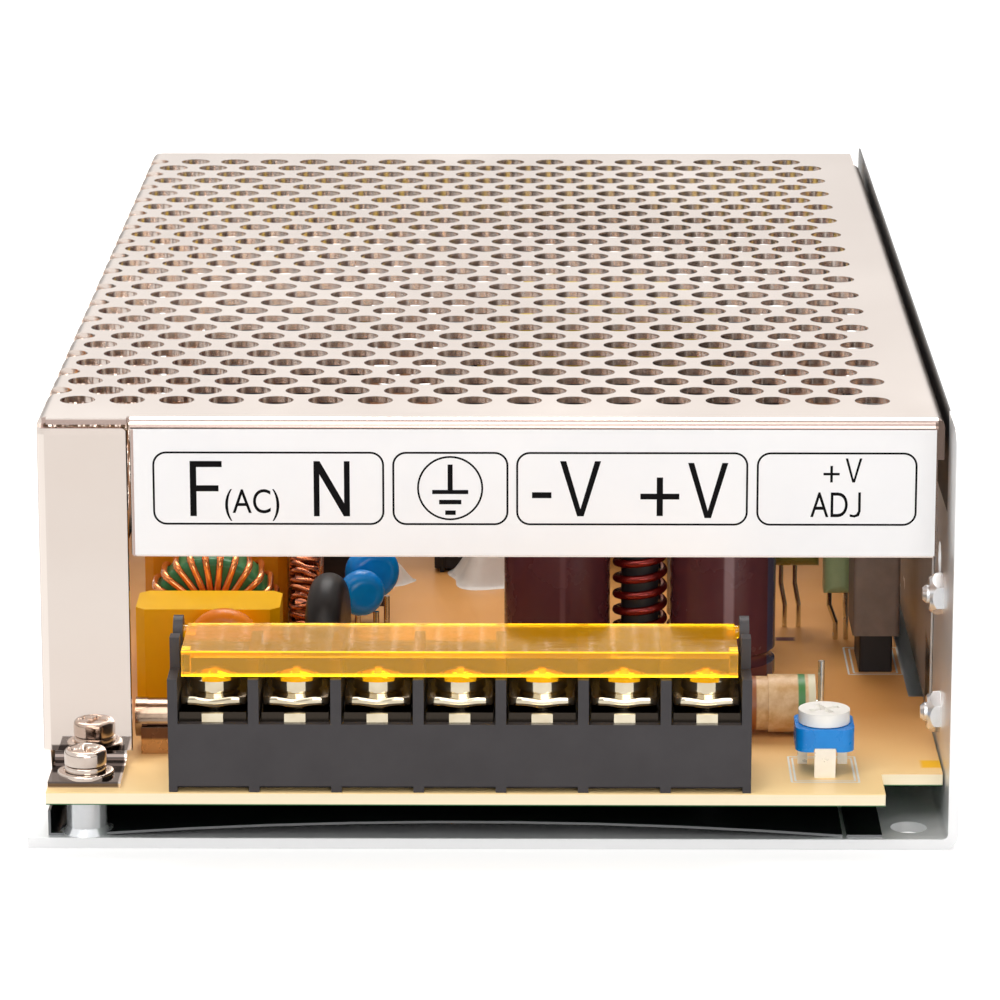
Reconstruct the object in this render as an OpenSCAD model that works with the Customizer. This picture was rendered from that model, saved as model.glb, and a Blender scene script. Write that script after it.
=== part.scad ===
// Mesh case switching power supply, screw terminals at the front.
// Units are millimetres. The front with the terminals faces -Y, the case stands on +Z up, and the
// origin is under the middle of the whole unit, on the plane that it stands on.
// Inside the modules, x counts from the left edge of the chassis, y from its front edge and z from
// its underside; in_frame() moves the finished piece to the origin.

/* [Case] */
// Width of the chassis
case_w = 115; // [112:1:124]
// Length of the chassis
case_l = 197.5; // [190:0.5:220]
// Height of the chassis wall
case_h = 52.9; // [50:0.1:60]
// Sheet thickness of the chassis
base_t = 1.3; // [1:0.1:2]
// Sheet thickness of the cover
cover_t = 0.8; // [0.6:0.1:1.2]
// Step from the left edge of the chassis to the side of the cover
cover_inset = 1.2; // [1.2:0.1:2]
// Distance from the front edge of the chassis to the front of the cover
cover_setback = 9.2; // [8:0.1:11]
// Distance from the back of the cover to the back edge of the chassis
cover_back_gap = 2.8; // [2:0.1:6]
// Depth of the cover top below the top of the chassis wall
cover_drop = 0.5; // [0.2:0.1:1]
// Gap between the cover and the chassis wall
wall_gap = 0.6; // [0.3:0.1:1]
// Height of the folded lip that carries the label
lip_h = 17.5; // [14:0.1:18]
// Width of the folded post at the front left
post_w = 11.2; // [10:0.1:13]

/* [Mesh] */
// Distance between holes in one row
hole_pitch = 6.2; // [5.8:0.1:7]
// Diameter of a hole
hole_d = 4.4; // [3:0.1:4.6]
// Number of hole rows along the case
mesh_rows = 32; // [24:1:33]
// Number of holes in a full row of the top
mesh_cols = 17; // [12:1:17]
// Number of full hole columns down the left side
side_cols = 7; // [4:1:7]
// Number of hole rows in the back panel
back_rows = 6; // [3:1:6]

/* [Board] */
// Thickness of the circuit board
board_t = 1.6; // [1:0.1:2]
// Height of the standoffs
standoff_h = 5; // [4.5:0.1:8]
// Diameter of the standoffs
standoff_d = 5; // [4:0.1:6]
// How far the board stands out in front of the chassis
board_overhang = 2.2; // [0:0.1:4]
// Gap between the board and the walls of the case
board_gap = 0.6; // [0.3:0.1:1]

/* [Terminals] */
// Number of poles of the terminal block
poles = 7; // [4:1:7]
// Distance between poles
pole_pitch = 10.1; // [9:0.1:10.2]
// Thickness of the ribs between poles
rib_t = 1.3; // [1:0.1:2]
// Depth of the terminal block
block_d = 15; // [14:0.1:16]
// Height of the front wall of the block above the board
block_front_h = 8.7; // [8:0.1:9.5]
// Height of the ribs above the board
rib_h = 14.4; // [14:0.1:15]
// Lift of a terminal screw from tight to fully open
screw_lift = 2; // [1:0.1:2]

/* [Hidden] */
$fn = 48;

clearance = 0.3;            // running and seating gap between neighbouring pieces
eps = 0.01;                 // overlap of a cutter with the face it opens
bend_in = 0.5;              // inside radius of every sheet fold
base_bend_in = 0.7;         // inside radius of the chassis fold
wall_in = case_w - base_t;  // inner face of the chassis wall

// Cover
cover_top = case_h - cover_drop;
cover_front = cover_setback;
cover_back = case_l - cover_back_gap;
cover_left = cover_inset;
cover_right = wall_in - wall_gap;
cover_foot = base_t + clearance;
cover_bend = cover_t + bend_in;
flange_h = 5.4;             // small flange along the chassis wall
flange_end = cover_back - 10.7;
lip_left = cover_left + post_w + 0.4;
lip_right = cover_right - 0.9;
lip_foot = cover_top - lip_h;

// Mesh
row_pitch = hole_pitch * sqrt(3) / 2;
mesh_x0 = cover_left + 4.3;
mesh_y0 = cover_front + 10.2;
mesh_side_z = cover_top - 2.5;
back_margin = 9;            // from the side of the back panel to its first hole

// Board and what stands on it
board_z = base_t + standoff_h;
board_top = board_z + board_t;
board_left = cover_left + cover_t + board_gap;
board_right = wall_in - clearance;
board_front = -board_overhang;
board_back = cover_back - cover_t - 4;
notch_x = wall_in - 7.95;    // board corner cut away over the mounting hole
notch_y = 6.3;
hole_edge = 4.5;            // mounting holes from the wall
hole_front = 5;             // front mounting hole from the front edge
hole_back = 10;             // rear mounting hole from the back edge, clear of the cover's back panel
mount_hole_r = 2.25;
side_hole_y = 21.5;
side_hole_z = 31.5;

// Fasteners
m3_r = 1.5;
m3_tap_r = 1.25;
m3_shank_r = m3_tap_r - 0.1;
m3_head_r = 2.65;
m3_head_h = 2.2;
lug_h = 4.8;                // height of the small chassis lugs over the base
lug_z = base_t + 2.95;      // height of the screws in the lugs
lug_w = 10;
low_head_h = 1;
spigot_r = m3_r + 0.8;      // foot of a standoff, riveted into the base
lug_y = [case_l * 0.25, case_l * 0.75];

// Folded tab that earths the cover on the board
tab_left = cover_left + 1.5;
tab_right = cover_left + 10.5;
tab_top = board_top + cover_t;
tab_setback = 1.8;          // from the front edge of the board to the tab
tab_screw = [cover_left + 5.9, board_front + 5.2];
tab_bend = 1.1;             // inside radius of the fold between post and tab
post_foot = tab_top + tab_bend;

// Standoffs stand at the corners and in the middle
post_back = case_l - 14.5;
post_points = [tab_screw, [tab_screw[0], post_back], [44, 122], [wall_in - 27.7, 31.5],
               [wall_in - 12.7, post_back]];

// Terminal block and trimmer share the room between the post and the cut corner of the board
block_w = poles * pole_pitch + 0.8;
trimmer_w = 7.3;
front_spare = notch_x - cover_left - post_w - block_w - trimmer_w;
block_left = cover_left + post_w + 0.368 * front_spare;
block_front = board_front + 0.2;
block_back = block_front + block_d;
floor_z = board_top + block_front_h;
rib_z = board_top + rib_h;
bay_w = pole_pitch - rib_t;
screw_y = block_front + 6.4;
contact_t = 1.2;
shank_r = 1.75;
clamp_w = 8.2;
clamp_t = 1;
clamp_z = floor_z + contact_t + clearance;
head_r = 3.1;
head_h = 2.4;
head_z = clamp_z + clamp_t + 0.7;
hinge_y = block_front + 12.4;
hinge_z = board_top + 17.1;
lug_r = 2;
lug_t = 1.2;
pin_r = 0.8;
lid_t = 1;
lid_top = board_top + 17.9;
lid_lip_foot = rib_z + clearance;
lid_left = block_left + 1.75;
lid_right = block_left + block_w - 1.75;
lid_front = block_front + 0.3;

function pole_x(i) = block_left + block_w / 2 + (i - (poles + 1) / 2) * pole_pitch;

// ---------------------------------------------------------------- helpers

module in_frame() translate([-case_w / 2, board_overhang / 2 - case_l / 2, 0]) children();

// Outline in the x-z plane, carried along y from y0 to y1
module along_y(y0, y1) translate([0, y1, 0]) rotate([90, 0, 0]) linear_extrude(y1 - y0) children();

// Outline in the y-z plane, carried along x from x0 to x1
module along_x(x0, x1) translate([x0, 0, 0]) rotate([90, 0, 90]) linear_extrude(x1 - x0) children();

// Quarter of a ring, the section of a fold; it fills the quadrant +x, +y
module fold_section(inner, thick) intersection() {
    difference() {
        circle(inner + thick);
        circle(inner);
    }
    square(inner + thick);
}

// Rectangle with round corners
module round_rect(w, h, r) {
    translate([r, 0]) square([w - 2 * r, h]);
    translate([0, r]) square([w, h - 2 * r]);
    for (x = [r, w - r], y = [r, h - r]) translate([x, y]) circle(r);
}

// Block with round vertical edges, centred on x and y
module round_block(w, d, h, r) translate([-w / 2, -d / 2, 0]) linear_extrude(h) round_rect(w, d, r);

// Cutter that leaves a round corner of radius r at the origin, for a sheet in the quadrant +x, +y
module corner_cut(r) difference() {
    translate([-1, -1]) square(r + 1);
    translate([r, r]) circle(r);
}

function unit(v) = v / norm(v);

// Round wire along points; each ref points away from the core, square to the wire
module wire(points, refs, r, sides) {
    n = len(points);
    along = [for (i = [0:n - 1]) unit(points[min(i + 1, n - 1)] - points[max(i - 1, 0)])];
    side_dir = [for (i = [0:n - 1]) unit(cross(along[i], refs[i]))];
    out_dir = [for (i = [0:n - 1]) cross(side_dir[i], along[i])];
    skin = [for (i = [0:n - 1], k = [0:sides - 1])
        points[i] + r * (cos(360 * k / sides) * side_dir[i] + sin(360 * k / sides) * out_dir[i])];
    walls = [for (i = [0:n - 2], k = [0:sides - 1])
        [i * sides + k, i * sides + (k + 1) % sides,
         (i + 1) * sides + (k + 1) % sides, (i + 1) * sides + k]];
    ends = [[for (k = [sides - 1:-1:0]) k], [for (k = [0:sides - 1]) (n - 1) * sides + k]];
    polyhedron(skin, concat(walls, ends), convexity = 10);
}

// ---------------------------------------------------------------- case

module mesh_holes_top() {
    for (row = [0:mesh_rows - 1], col = [(row % 2):mesh_cols - 1])
        translate([mesh_x0 + (col - (row % 2) / 2) * hole_pitch, mesh_y0 + row * row_pitch])
            circle(d = hole_d);
}

module mesh_holes_side() {
    for (row = [0:mesh_rows - 1], col = [0:side_cols - 1 - row % 2])
        translate([mesh_y0 + row * row_pitch, mesh_side_z - (col + (row % 2) / 2) * hole_pitch])
            circle(d = hole_d);
}

module mesh_holes_back() {
    cols = floor((cover_right - cover_left - 2 * back_margin) / hole_pitch);
    for (row = [0:back_rows - 1], col = [0:cols - row % 2])
        translate([cover_left + back_margin + (col + (row % 2) / 2) * hole_pitch,
                   cover_top - back_margin - row * row_pitch])
            circle(d = hole_d);
}

module chassis() color("silver") in_frame() difference() {
    union() {
        along_y(0, case_l) {
            square([case_w - base_t - base_bend_in, base_t]);
            translate([case_w - base_t, base_t + base_bend_in])
                square([base_t, case_h - base_t - base_bend_in]);
            translate([case_w - base_t - base_bend_in, base_t + base_bend_in])
                mirror([0, 1]) fold_section(base_bend_in, base_t);
        }
        for (y = lug_y) translate([cover_left + cover_t, y - lug_w / 2, base_t - eps])
            cube([base_t, lug_w, lug_h + eps]);
        translate([case_w / 2 - lug_w / 2, cover_back - cover_t - base_t, base_t - eps])
            cube([lug_w, base_t, lug_h + eps]);
    }
    for (y = [hole_front, case_l - hole_back]) translate([wall_in - hole_edge, y, -1])
        cylinder(r = mount_hole_r, h = base_t + 2);
    for (y = [side_hole_y, case_l - side_hole_y]) translate([wall_in - 1, y, side_hole_z])
        rotate([0, 90, 0]) cylinder(r = mount_hole_r, h = base_t + 2);
    for (p = post_points) translate([p[0], p[1], -1]) cylinder(r = spigot_r + 0.1, h = base_t + 2);
    for (p = wall_points) translate([0, p[0], p[1]]) rotate([0, 90, 0]) {
        translate([0, 0, wall_in - 1]) cylinder(r = bolt_r + 0.1, h = base_t + 2);
        translate([0, 0, case_w - base_t * 0.9])
            cylinder(r1 = bolt_r + 0.1, r2 = 2.5, h = base_t * 0.9 + eps);
    }
    for (y = lug_y) translate([0, y, lug_z])
        rotate([0, 90, 0]) cylinder(r = m3_tap_r, h = 10);
    translate([case_w / 2, cover_back - 10, lug_z])
        rotate([-90, 0, 0]) cylinder(r = m3_tap_r, h = 12);
    // round front and back top corners of the wall
    for (end = [0, 1]) translate([0, end * case_l, case_h]) mirror([0, end, 0]) difference() {
        translate([wall_in - 1, -1, -2]) cube([base_t + 2, 3, 3]);
        translate([wall_in - 2, 2, -2]) rotate([0, 90, 0]) cylinder(r = 2, h = base_t + 4);
    }
}

// Top, left side and the small flange at the chassis wall, seen from the front
module cover_section(right, with_flange) {
    translate([cover_left + cover_bend, cover_top - cover_t])
        square([right - cover_left - cover_bend - (with_flange ? cover_bend : 0), cover_t]);
    translate([cover_left, cover_foot]) square([cover_t, cover_top - cover_bend - cover_foot]);
    translate([cover_left + cover_bend, cover_top - cover_bend]) mirror([1, 0])
        fold_section(bend_in, cover_t);
    if (with_flange) {
        translate([right - cover_bend, cover_top - cover_bend]) fold_section(bend_in, cover_t);
        translate([right - cover_t, cover_top - flange_h]) square([cover_t, flange_h - cover_bend]);
    }
}

module cover_front_lip() {
    along_x(lip_left, lip_right)
        translate([cover_front + cover_bend, cover_top - cover_bend]) mirror([1, 0])
            fold_section(bend_in, cover_t);
    translate([0, cover_front + cover_t, 0]) rotate([90, 0, 0]) linear_extrude(cover_t) difference() {
        translate([lip_left, lip_foot]) square([lip_right - lip_left, lip_h - cover_bend]);
        for (side = [0, 1]) translate([side ? lip_right : lip_left, lip_foot]) mirror([side, 0])
            corner_cut(0.5);
    }
}

module cover_post() {
    post_top = cover_top - cover_t - 0.4;
    translate([0, 0, post_foot]) linear_extrude(post_top - post_foot)
        translate([cover_left + cover_bend, cover_front + cover_bend]) mirror([1, 0]) mirror([0, 1])
            fold_section(bend_in, cover_t);
    translate([0, cover_front + cover_t, 0]) rotate([90, 0, 0]) linear_extrude(cover_t) difference() {
        translate([cover_left + cover_bend, post_foot])
            square([post_w - cover_bend, post_top - post_foot]);
        translate([cover_left + post_w, post_top]) rotate(180) corner_cut(0.8);
    }
    along_x(tab_left, tab_right) {
        translate([cover_front - tab_bend, post_foot]) mirror([0, 1]) fold_section(tab_bend, cover_t);
        translate([board_front + tab_setback, board_top])
            square([cover_front - tab_bend - board_front - tab_setback, cover_t]);
    }
}

module cover_back_panel() {
    along_x(cover_left + cover_bend + 0.2, lip_right)
        translate([cover_back - cover_bend, cover_top - cover_bend]) fold_section(bend_in, cover_t);
    translate([0, cover_back, 0]) rotate([90, 0, 0]) linear_extrude(cover_t) difference() {
        translate([cover_left + cover_bend + 0.2, cover_foot])
            square([lip_right - cover_left - cover_bend - 0.2, cover_top - cover_bend - cover_foot]);
        mesh_holes_back();
    }
}

module cover() color("mistyrose") in_frame() difference() {
    union() {
        difference() {
            union() {
                along_y(cover_front + cover_bend, flange_end) cover_section(cover_right, true);
                along_y(flange_end - eps, cover_back - cover_bend) cover_section(lip_right, false);
                // the top runs on over the post
                translate([cover_left + cover_bend, cover_front + 0.1, cover_top - cover_t])
                    cube([post_w - cover_bend, cover_bend, cover_t]);
            }
            translate([0, 0, cover_top - 2 * cover_t]) linear_extrude(3 * cover_t) mesh_holes_top();
            along_x(cover_left - 1, cover_left + 2 * cover_t) mesh_holes_side();
            // holes that fall on the fold between the top and the left side
            for (row = [1:2:mesh_rows - 1]) translate([cover_left, mesh_y0 + row * row_pitch, cover_top])
                rotate([0, -45, 0]) translate([0, 0, -hole_d / 2]) cylinder(d = hole_d, h = hole_d);
        }
        cover_front_lip();
        cover_post();
        cover_back_panel();
    }
    // sloping relief at the front foot of the left side
    along_x(cover_left - 1, cover_left + cover_t + eps)
        polygon([[cover_front - 1, cover_foot - 1], [cover_front - 1, post_foot],
                 [cover_front + cover_bend + eps, post_foot], [cover_front + 5, cover_foot - 1]]);
    translate([tab_screw[0], tab_screw[1], board_top - 1]) cylinder(r = m3_r + 0.1, h = cover_t + 2);
    for (y = lug_y) translate([cover_left - 1, y, lug_z])
        rotate([0, 90, 0]) cylinder(r = m3_r + 0.1, h = cover_t + 2);
    translate([case_w / 2, cover_back - cover_t - 1, lug_z])
        rotate([-90, 0, 0]) cylinder(r = m3_r + 0.1, h = cover_t + 2);
}

module label() color("white") in_frame()
    translate([0, cover_front, 0]) rotate([90, 0, 0]) linear_extrude(0.2)
        translate([lip_left + 0.45, lip_foot + 0.25])
            square([lip_right - lip_left - 0.65, lip_h - cover_bend - 0.25]);

// Rows of [y, z] for the two screws through the chassis wall
wall_points = [[16.5, 28.3], [16.5, 12.9]];
nut_d = 5.4;                // across corners
nut_h = 1.7;
bolt_r = 1.2;

module wall_screws() color("lightgray") in_frame()
    for (p = wall_points) translate([0, p[0], p[1]]) rotate([0, 90, 0]) {
        translate([0, 0, wall_in - nut_h - 0.3]) cylinder(r = bolt_r, h = nut_h + base_t + 0.1);
        translate([0, 0, wall_in - nut_h - 0.8]) cylinder(r1 = bolt_r - 0.4, r2 = bolt_r, h = 0.5 + eps);
        translate([0, 0, case_w - base_t * 0.9]) cylinder(r1 = bolt_r, r2 = 2.3, h = base_t * 0.9);
    }

module wall_nuts() color("gainsboro") in_frame()
    for (p = wall_points) translate([wall_in - nut_h, p[0], p[1]]) rotate([0, 90, 0]) difference() {
        intersection() {
            cylinder(d = nut_d, h = nut_h, $fn = 6);
            cylinder(d1 = nut_d - 1.2, d2 = nut_d + 1.2, h = nut_h);
        }
        translate([0, 0, -1]) cylinder(r = bolt_r + 0.1, h = 5);
    }

module case_screws() color("lightgray") in_frame() {
    for (y = lug_y) translate([cover_left - low_head_h, y, lug_z])
        rotate([0, 90, 0]) low_screw(cover_t + base_t + low_head_h);
    translate([case_w / 2, cover_back + low_head_h, lug_z])
        rotate([90, 0, 0]) low_screw(cover_t + base_t + low_head_h);
}

// Flat headed screw that enters along +z from its own head
module low_screw(len) {
    difference() {
        cylinder(r = 2.7, h = low_head_h);
        for (a = [0, 90]) rotate(a) translate([-1.6, -0.3, -1]) cube([3.2, 0.6, 1.6]);
    }
    cylinder(r = m3_shank_r, h = len);
}

// ---------------------------------------------------------------- board and its supports

module board() color("burlywood") in_frame() difference() {
    translate([0, 0, board_z]) linear_extrude(board_t) difference() {
        translate([board_left, board_front])
            square([board_right - board_left, board_back - board_front]);
        translate([notch_x, board_front - 1]) square([20, notch_y - board_front + 1]);
        translate([notch_x, board_back - 6]) square([20, 7]);
        translate([board_right - 1.9, 40]) square([5, 112]);
        for (p = post_points) translate(p) circle(m3_r + 0.1);
    }
}

module standoffs() color("lightsteelblue") in_frame()
    for (p = post_points) translate([p[0], p[1], 0]) difference() {
        union() {
            translate([0, 0, base_t]) cylinder(d = standoff_d, h = standoff_h);
            translate([0, 0, base_t]) cylinder(d1 = standoff_d + 0.9, d2 = standoff_d, h = 0.9);
            cylinder(r = spigot_r, h = base_t);
        }
        translate([0, 0, -1]) cylinder(r = m3_tap_r, h = standoff_h + base_t + 2);
    }

// Pan head screws; the one at the front left stands on the tab and its washers
module board_screws() color("gainsboro") in_frame()
    for (k = [0:len(post_points) - 1]) translate([post_points[k][0], post_points[k][1], 0]) {
        seat = k == 0 ? tab_top + 1.3 : board_top;
        translate([0, 0, board_top - 4]) cylinder(r = m3_shank_r, h = seat - board_top + 4);
        translate([0, 0, seat]) difference() {
            intersection() {
                cylinder(r = m3_head_r, h = m3_head_h);
                translate([0, 0, -1.1]) sphere(r = 3.6);
            }
            for (a = [20, 110]) rotate(a) translate([-1.5, -0.3, m3_head_h - 1]) cube([3, 0.6, 2]);
        }
    }

module tab_washers() color("gainsboro") in_frame() translate([tab_screw[0], tab_screw[1], tab_top]) {
    difference() {
        cylinder(r = 3.5, h = 0.5);
        translate([0, 0, -1]) cylinder(r = m3_r + 0.1, h = 3);
    }
    translate([0, 0, 0.5]) difference() {
        cylinder(r = 2.9, h = 0.8);
        translate([0, 0, -1]) cylinder(r = m3_r + 0.1, h = 3);
        rotate(-60) translate([0, -0.2, -1]) cube([4, 0.4, 3]);
    }
}

// Insulating film, bowed up between the board and the base
module base_film() color("black") in_frame() {
    film_t = 0.3;
    rise = 1.7;
    half = (notch_x - 10 - board_left) / 2;
    bow_r = (half * half + rise * rise) / (2 * rise);
    difference() {
        along_y(1, board_back - 1) {
            translate([board_left - 0.1, base_t]) square([6, film_t]);
            translate([board_left - 0.1, base_t]) square([film_t, 3.2]);
            translate([notch_x - 4.5, base_t]) square([4.4, film_t]);
            intersection() {
                translate([board_left + 5 + half, base_t + rise - bow_r]) difference() {
                    circle(bow_r + film_t, $fn = 720);
                    circle(bow_r, $fn = 720);
                }
                translate([board_left + 5, base_t]) square([2 * half, rise + 1]);
            }
        }
        for (p = post_points) translate([p[0], p[1], 0]) cylinder(r = standoff_d / 2 + 0.8, h = 9);
        for (y = lug_y) translate([-1, y - lug_w / 2 - clearance, 0])
            cube([cover_left + cover_t + base_t + 1 + 2 * clearance, lug_w + 2 * clearance, 9]);
    }
}

module wall_film() color("dimgray", 0.8) in_frame()
    translate([wall_in - 0.35, 29, board_top + 0.6]) cube([0.25, 122, 30]);

// ---------------------------------------------------------------- terminal block

module block_side_outline() {
    difference() {
        union() {
            translate([block_front, board_top]) square([block_d, rib_h]);
            translate([block_front + 5, board_top]) square([2, rib_h + 3.9]);
            translate([block_front + 7, board_top]) square([4, rib_h + 1.4]);
            translate([hinge_y, hinge_z]) circle(lug_r);
            translate([hinge_y - lug_r, board_top]) square([2 * lug_r, hinge_z - board_top]);
        }
        translate([hinge_y, hinge_z]) circle(pin_r + 0.15);
    }
}

module terminal_block() color("dimgray") in_frame() difference() {
    union() {
        translate([block_left, block_front, board_top]) cube([block_w, block_d, block_front_h]);
        // ribs between the poles stay below the lid
        for (i = [1:poles - 1]) translate([pole_x(i + 0.5) - rib_t / 2, block_front, board_top]) {
            cube([rib_t, block_d, rib_h]);
            translate([0, 1.6, 0]) cube([rib_t, block_d - 5, lid_top - lid_t - clearance - board_top]);
        }
        for (side = [0, 1]) translate([side ? 2 * block_left + block_w : 0, 0, 0]) mirror([side, 0, 0])
            along_x(block_left, block_left + lug_t) block_side_outline();
        translate([block_left, block_back - 1.2, board_top]) cube([block_w, 1.2, rib_h]);
    }
    // pockets under the poles leave feet under the ribs
    for (i = [1:poles]) {
        translate([pole_x(i) - bay_w / 2, block_front - 1, board_top - 1]) cube([bay_w, 3, 1.8]);
        translate([pole_x(i), screw_y, board_top + 1]) cylinder(r = shank_r + 0.6, h = block_front_h);
    }
}

module terminal_contacts() color("gainsboro") in_frame()
    for (i = [1:poles]) translate([pole_x(i), 0, floor_z]) difference() {
        union() {
            translate([-clamp_w / 2, block_front + 1.2, 0]) cube([clamp_w, 11, contact_t]);
            translate([-1.3, block_front + 0.5, 0]) cube([2.6, 1, contact_t]);
        }
        translate([0, screw_y, -1]) cylinder(r = shank_r + 0.06, h = contact_t + 2);
    }

module terminal_screw(i) color("gainsboro") in_frame() translate([pole_x(i), screw_y, 0]) difference() {
    union() {
        translate([0, 0, head_z]) intersection() {
            cylinder(r = head_r, h = head_h);
            translate([0, 0, head_h - 4.6]) sphere(r = 4.6);
        }
        translate([0, 0, floor_z - 4]) cylinder(r = shank_r, h = head_z - floor_z + 4.1);
    }
    translate([0, 0, head_z + head_h - 1.1]) {
        translate([-head_r, -0.45, 0]) cube([2 * head_r, 0.9, 2]);
        rotate(90) translate([-1.9, -0.45, 0]) cube([3.8, 0.9, 2]);
    }
}

// Square clamp washer, dished up towards the screw head, with two side lips
module wire_clamp(i) color("gainsboro") in_frame() translate([pole_x(i), screw_y, clamp_z]) difference() {
    union() {
        round_block(clamp_w, clamp_w, clamp_t, 0.8);
        translate([0, 0, clamp_t]) cylinder(r1 = 3.4, r2 = 2.7, h = 0.7);
        for (side = [-1, 1]) translate([side * (clamp_w / 2 - 0.4), 0, clamp_t + 0.25])
            cube([0.8, clamp_w - 2.4, 0.7], center = true);
    }
    translate([0, 0, -1]) cylinder(r = shank_r + 0.05, h = 4);
}

module terminal_cover() color("orange", 0.6) in_frame() {
    along_x(lid_left, lid_right) {
        translate([lid_front, lid_top - lid_t]) square([hinge_y + 0.8 - lid_front, lid_t]);
        translate([lid_front, lid_lip_foot]) square([lid_t, lid_top - lid_lip_foot]);
    }
    for (side = [0, 1]) translate([side ? lid_left + lid_right : 0, 0, 0]) mirror([side, 0, 0]) {
        translate([lid_left, lid_front, lid_lip_foot]) cube([lid_t, 3.2, lid_top - lid_lip_foot]);
        translate([lid_left, hinge_y - 1.4, lid_top - 1.7]) cube([lid_t, 2.2, 1.7]);
        translate([lid_left - 1.3, hinge_y, hinge_z]) rotate([0, 90, 0]) cylinder(r = pin_r, h = 1.3 + lid_t);
    }
}

// ---------------------------------------------------------------- voltage trimmer

trimmer_x = notch_x - trimmer_w / 2 - 0.237 * front_spare;
trimmer_y = board_front + 10.2;
trimmer_foot = board_top + 3.3;
trimmer_h = 2.9;
dial_r = 3.2;
dial_h = 1.6;

module trimmer_body() color("dodgerblue") in_frame() translate([trimmer_x, trimmer_y, trimmer_foot])
    difference() {
        round_block(trimmer_w, trimmer_w, trimmer_h, 1.6);
        translate([0, 0, trimmer_h - 1]) cylinder(r = 1.3, h = 2);
        translate([-1.4, -trimmer_w / 2 - eps, -1]) cube([2.8, 1, 1.5]);
    }

module trimmer_dial() color("white") in_frame()
    translate([trimmer_x, trimmer_y, trimmer_foot + trimmer_h + 0.1]) difference() {
        union() {
            cylinder(r = dial_r, h = dial_h);
            translate([0, 0, -1]) cylinder(r = 1.25, h = 1.2);
        }
        for (a = [0, 90]) rotate(a + 25) translate([-2, -0.4, dial_h - 0.7]) cube([4, 0.8, 1]);
    }

module trimmer_legs() color("gainsboro") in_frame() translate([trimmer_x, trimmer_y, board_top]) {
    translate([-1.3, -trimmer_w / 2 + 0.1, 0]) cube([2.6, 0.4, trimmer_foot - board_top + 0.5]);
    for (x = [-2.5, 2.5]) translate([x - 0.6, 2.3, 0]) cube([1.2, 0.4, trimmer_foot - board_top]);
}

// ---------------------------------------------------------------- fuse

fuse_y = block_back + 4;
fuse_z = board_top + 4;
fuse_x = cover_left + 11.1;
fuse_l = 20;
fuse_r = 2.5;

module fuse_tube() color("azure", 0.5) in_frame() translate([fuse_x + 5, fuse_y, fuse_z]) rotate([0, 90, 0])
    difference() {
        cylinder(r = fuse_r - 0.2, h = fuse_l - 10);
        translate([0, 0, -1]) cylinder(r = fuse_r - 0.7, h = fuse_l);
    }

module fuse_caps() color("gainsboro") in_frame() for (x = [0, fuse_l - 5])
    translate([fuse_x + x, fuse_y, fuse_z]) rotate([0, 90, 0]) {
        cylinder(r = fuse_r - 0.1, h = 5);
        translate([0, 0, x > 0 ? 3.5 : 0]) cylinder(r = fuse_r, h = 1.5);
    }

module fuse_clips() color("silver") in_frame() for (x = [0.8, fuse_l - 4.2])
    translate([fuse_x + x, fuse_y, 0]) {
        translate([0, -2, board_top]) cube([3.4, 4, fuse_z - fuse_r - board_top - 0.02]);
        for (side = [-1, 1]) translate([0, side * (fuse_r + 0.35) - 0.25, board_top])
            cube([3.4, 0.5, fuse_z - board_top - 0.6]);
        for (side = [-1, 1]) translate([0, side > 0 ? 1.9 : -fuse_r - 0.5, board_top])
            cube([3.4, fuse_r - 1.4, 0.6]);
    }

// ---------------------------------------------------------------- mains side

resistor_r = 3.7;
resistor_l = 18.5;
resistor_at = [notch_x - 25.95, block_back + 10.5, board_top + resistor_r + 0.3];

module bleeder_resistor() color("tan") in_frame() translate(resistor_at) rotate([0, 90, 0]) rotate_extrude() {
    square([resistor_r - 0.25, resistor_l]);
    square([resistor_r, 3]);
    translate([0, resistor_l - 6]) square([resistor_r, 6]);
}

xcap_size = [18.6, 9.2, 14.2];
xcap_at = [cover_left + 19.25, block_back + 22.4];
choke_at = [cover_left + 18.9, xcap_at[1] + 12, board_top + 9.5];
choke_in = 3.7;
choke_out = 8;
choke_depth = 7;
choke_edge = 1;
choke_wire = 0.46;
choke_turns = 11;
choke_steps = 16;
line_cap_size = [19, 8.8, 19.2];
line_cap_at = [choke_at[0] - 0.1, choke_at[1] + 11];
inductor_at = [choke_at[0] + 12.1, choke_at[1] + 4.6, board_top + 9.4];
inductor_wire = 0.42;

module box_capacitor(size) {
    chamfer = 1.2;
    linear_extrude(size[2]) polygon([
        [-size[0] / 2 + chamfer, -size[1] / 2], [size[0] / 2 - chamfer, -size[1] / 2],
        [size[0] / 2, -size[1] / 2 + chamfer], [size[0] / 2, size[1] / 2 - chamfer],
        [size[0] / 2 - chamfer, size[1] / 2], [-size[0] / 2 + chamfer, size[1] / 2],
        [-size[0] / 2, size[1] / 2 - chamfer], [-size[0] / 2, -size[1] / 2 + chamfer]]);
}

module x_capacitor() color("gold") in_frame() translate([xcap_at[0], xcap_at[1], board_top])
    box_capacitor(xcap_size);

module line_capacitor() color("orange") in_frame() translate([line_cap_at[0], line_cap_at[1], board_top])
    box_capacitor(line_cap_size);

// Coated disc with its flat faces square to y
module coated_disc(r, t) rotate([90, 0, 0]) rotate_extrude() {
    translate([0, -t / 2]) square([r - t / 2, t]);
    translate([r - t / 2, 0]) intersection() {
        circle(t / 2);
        translate([0, -t]) square([t, 2 * t]);
    }
}

varistor_at = [xcap_at[0] + 2.3, xcap_at[1] - 7, board_top + 10];
varistor_r = 5;
thermistor_at = [cover_left + 34.8, block_back + 17.5, board_top + 12];
thermistor_r = 7;
thermistor_turn = 84;
ycap_at = [[cover_left + 38.6, block_back + 30.5, board_top + 13],
           [cover_left + 39.8, block_back + 36.5, board_top + 14.2]];
ycap_r = [3.1, 3.7];
ycap_turn = 20;

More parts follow.
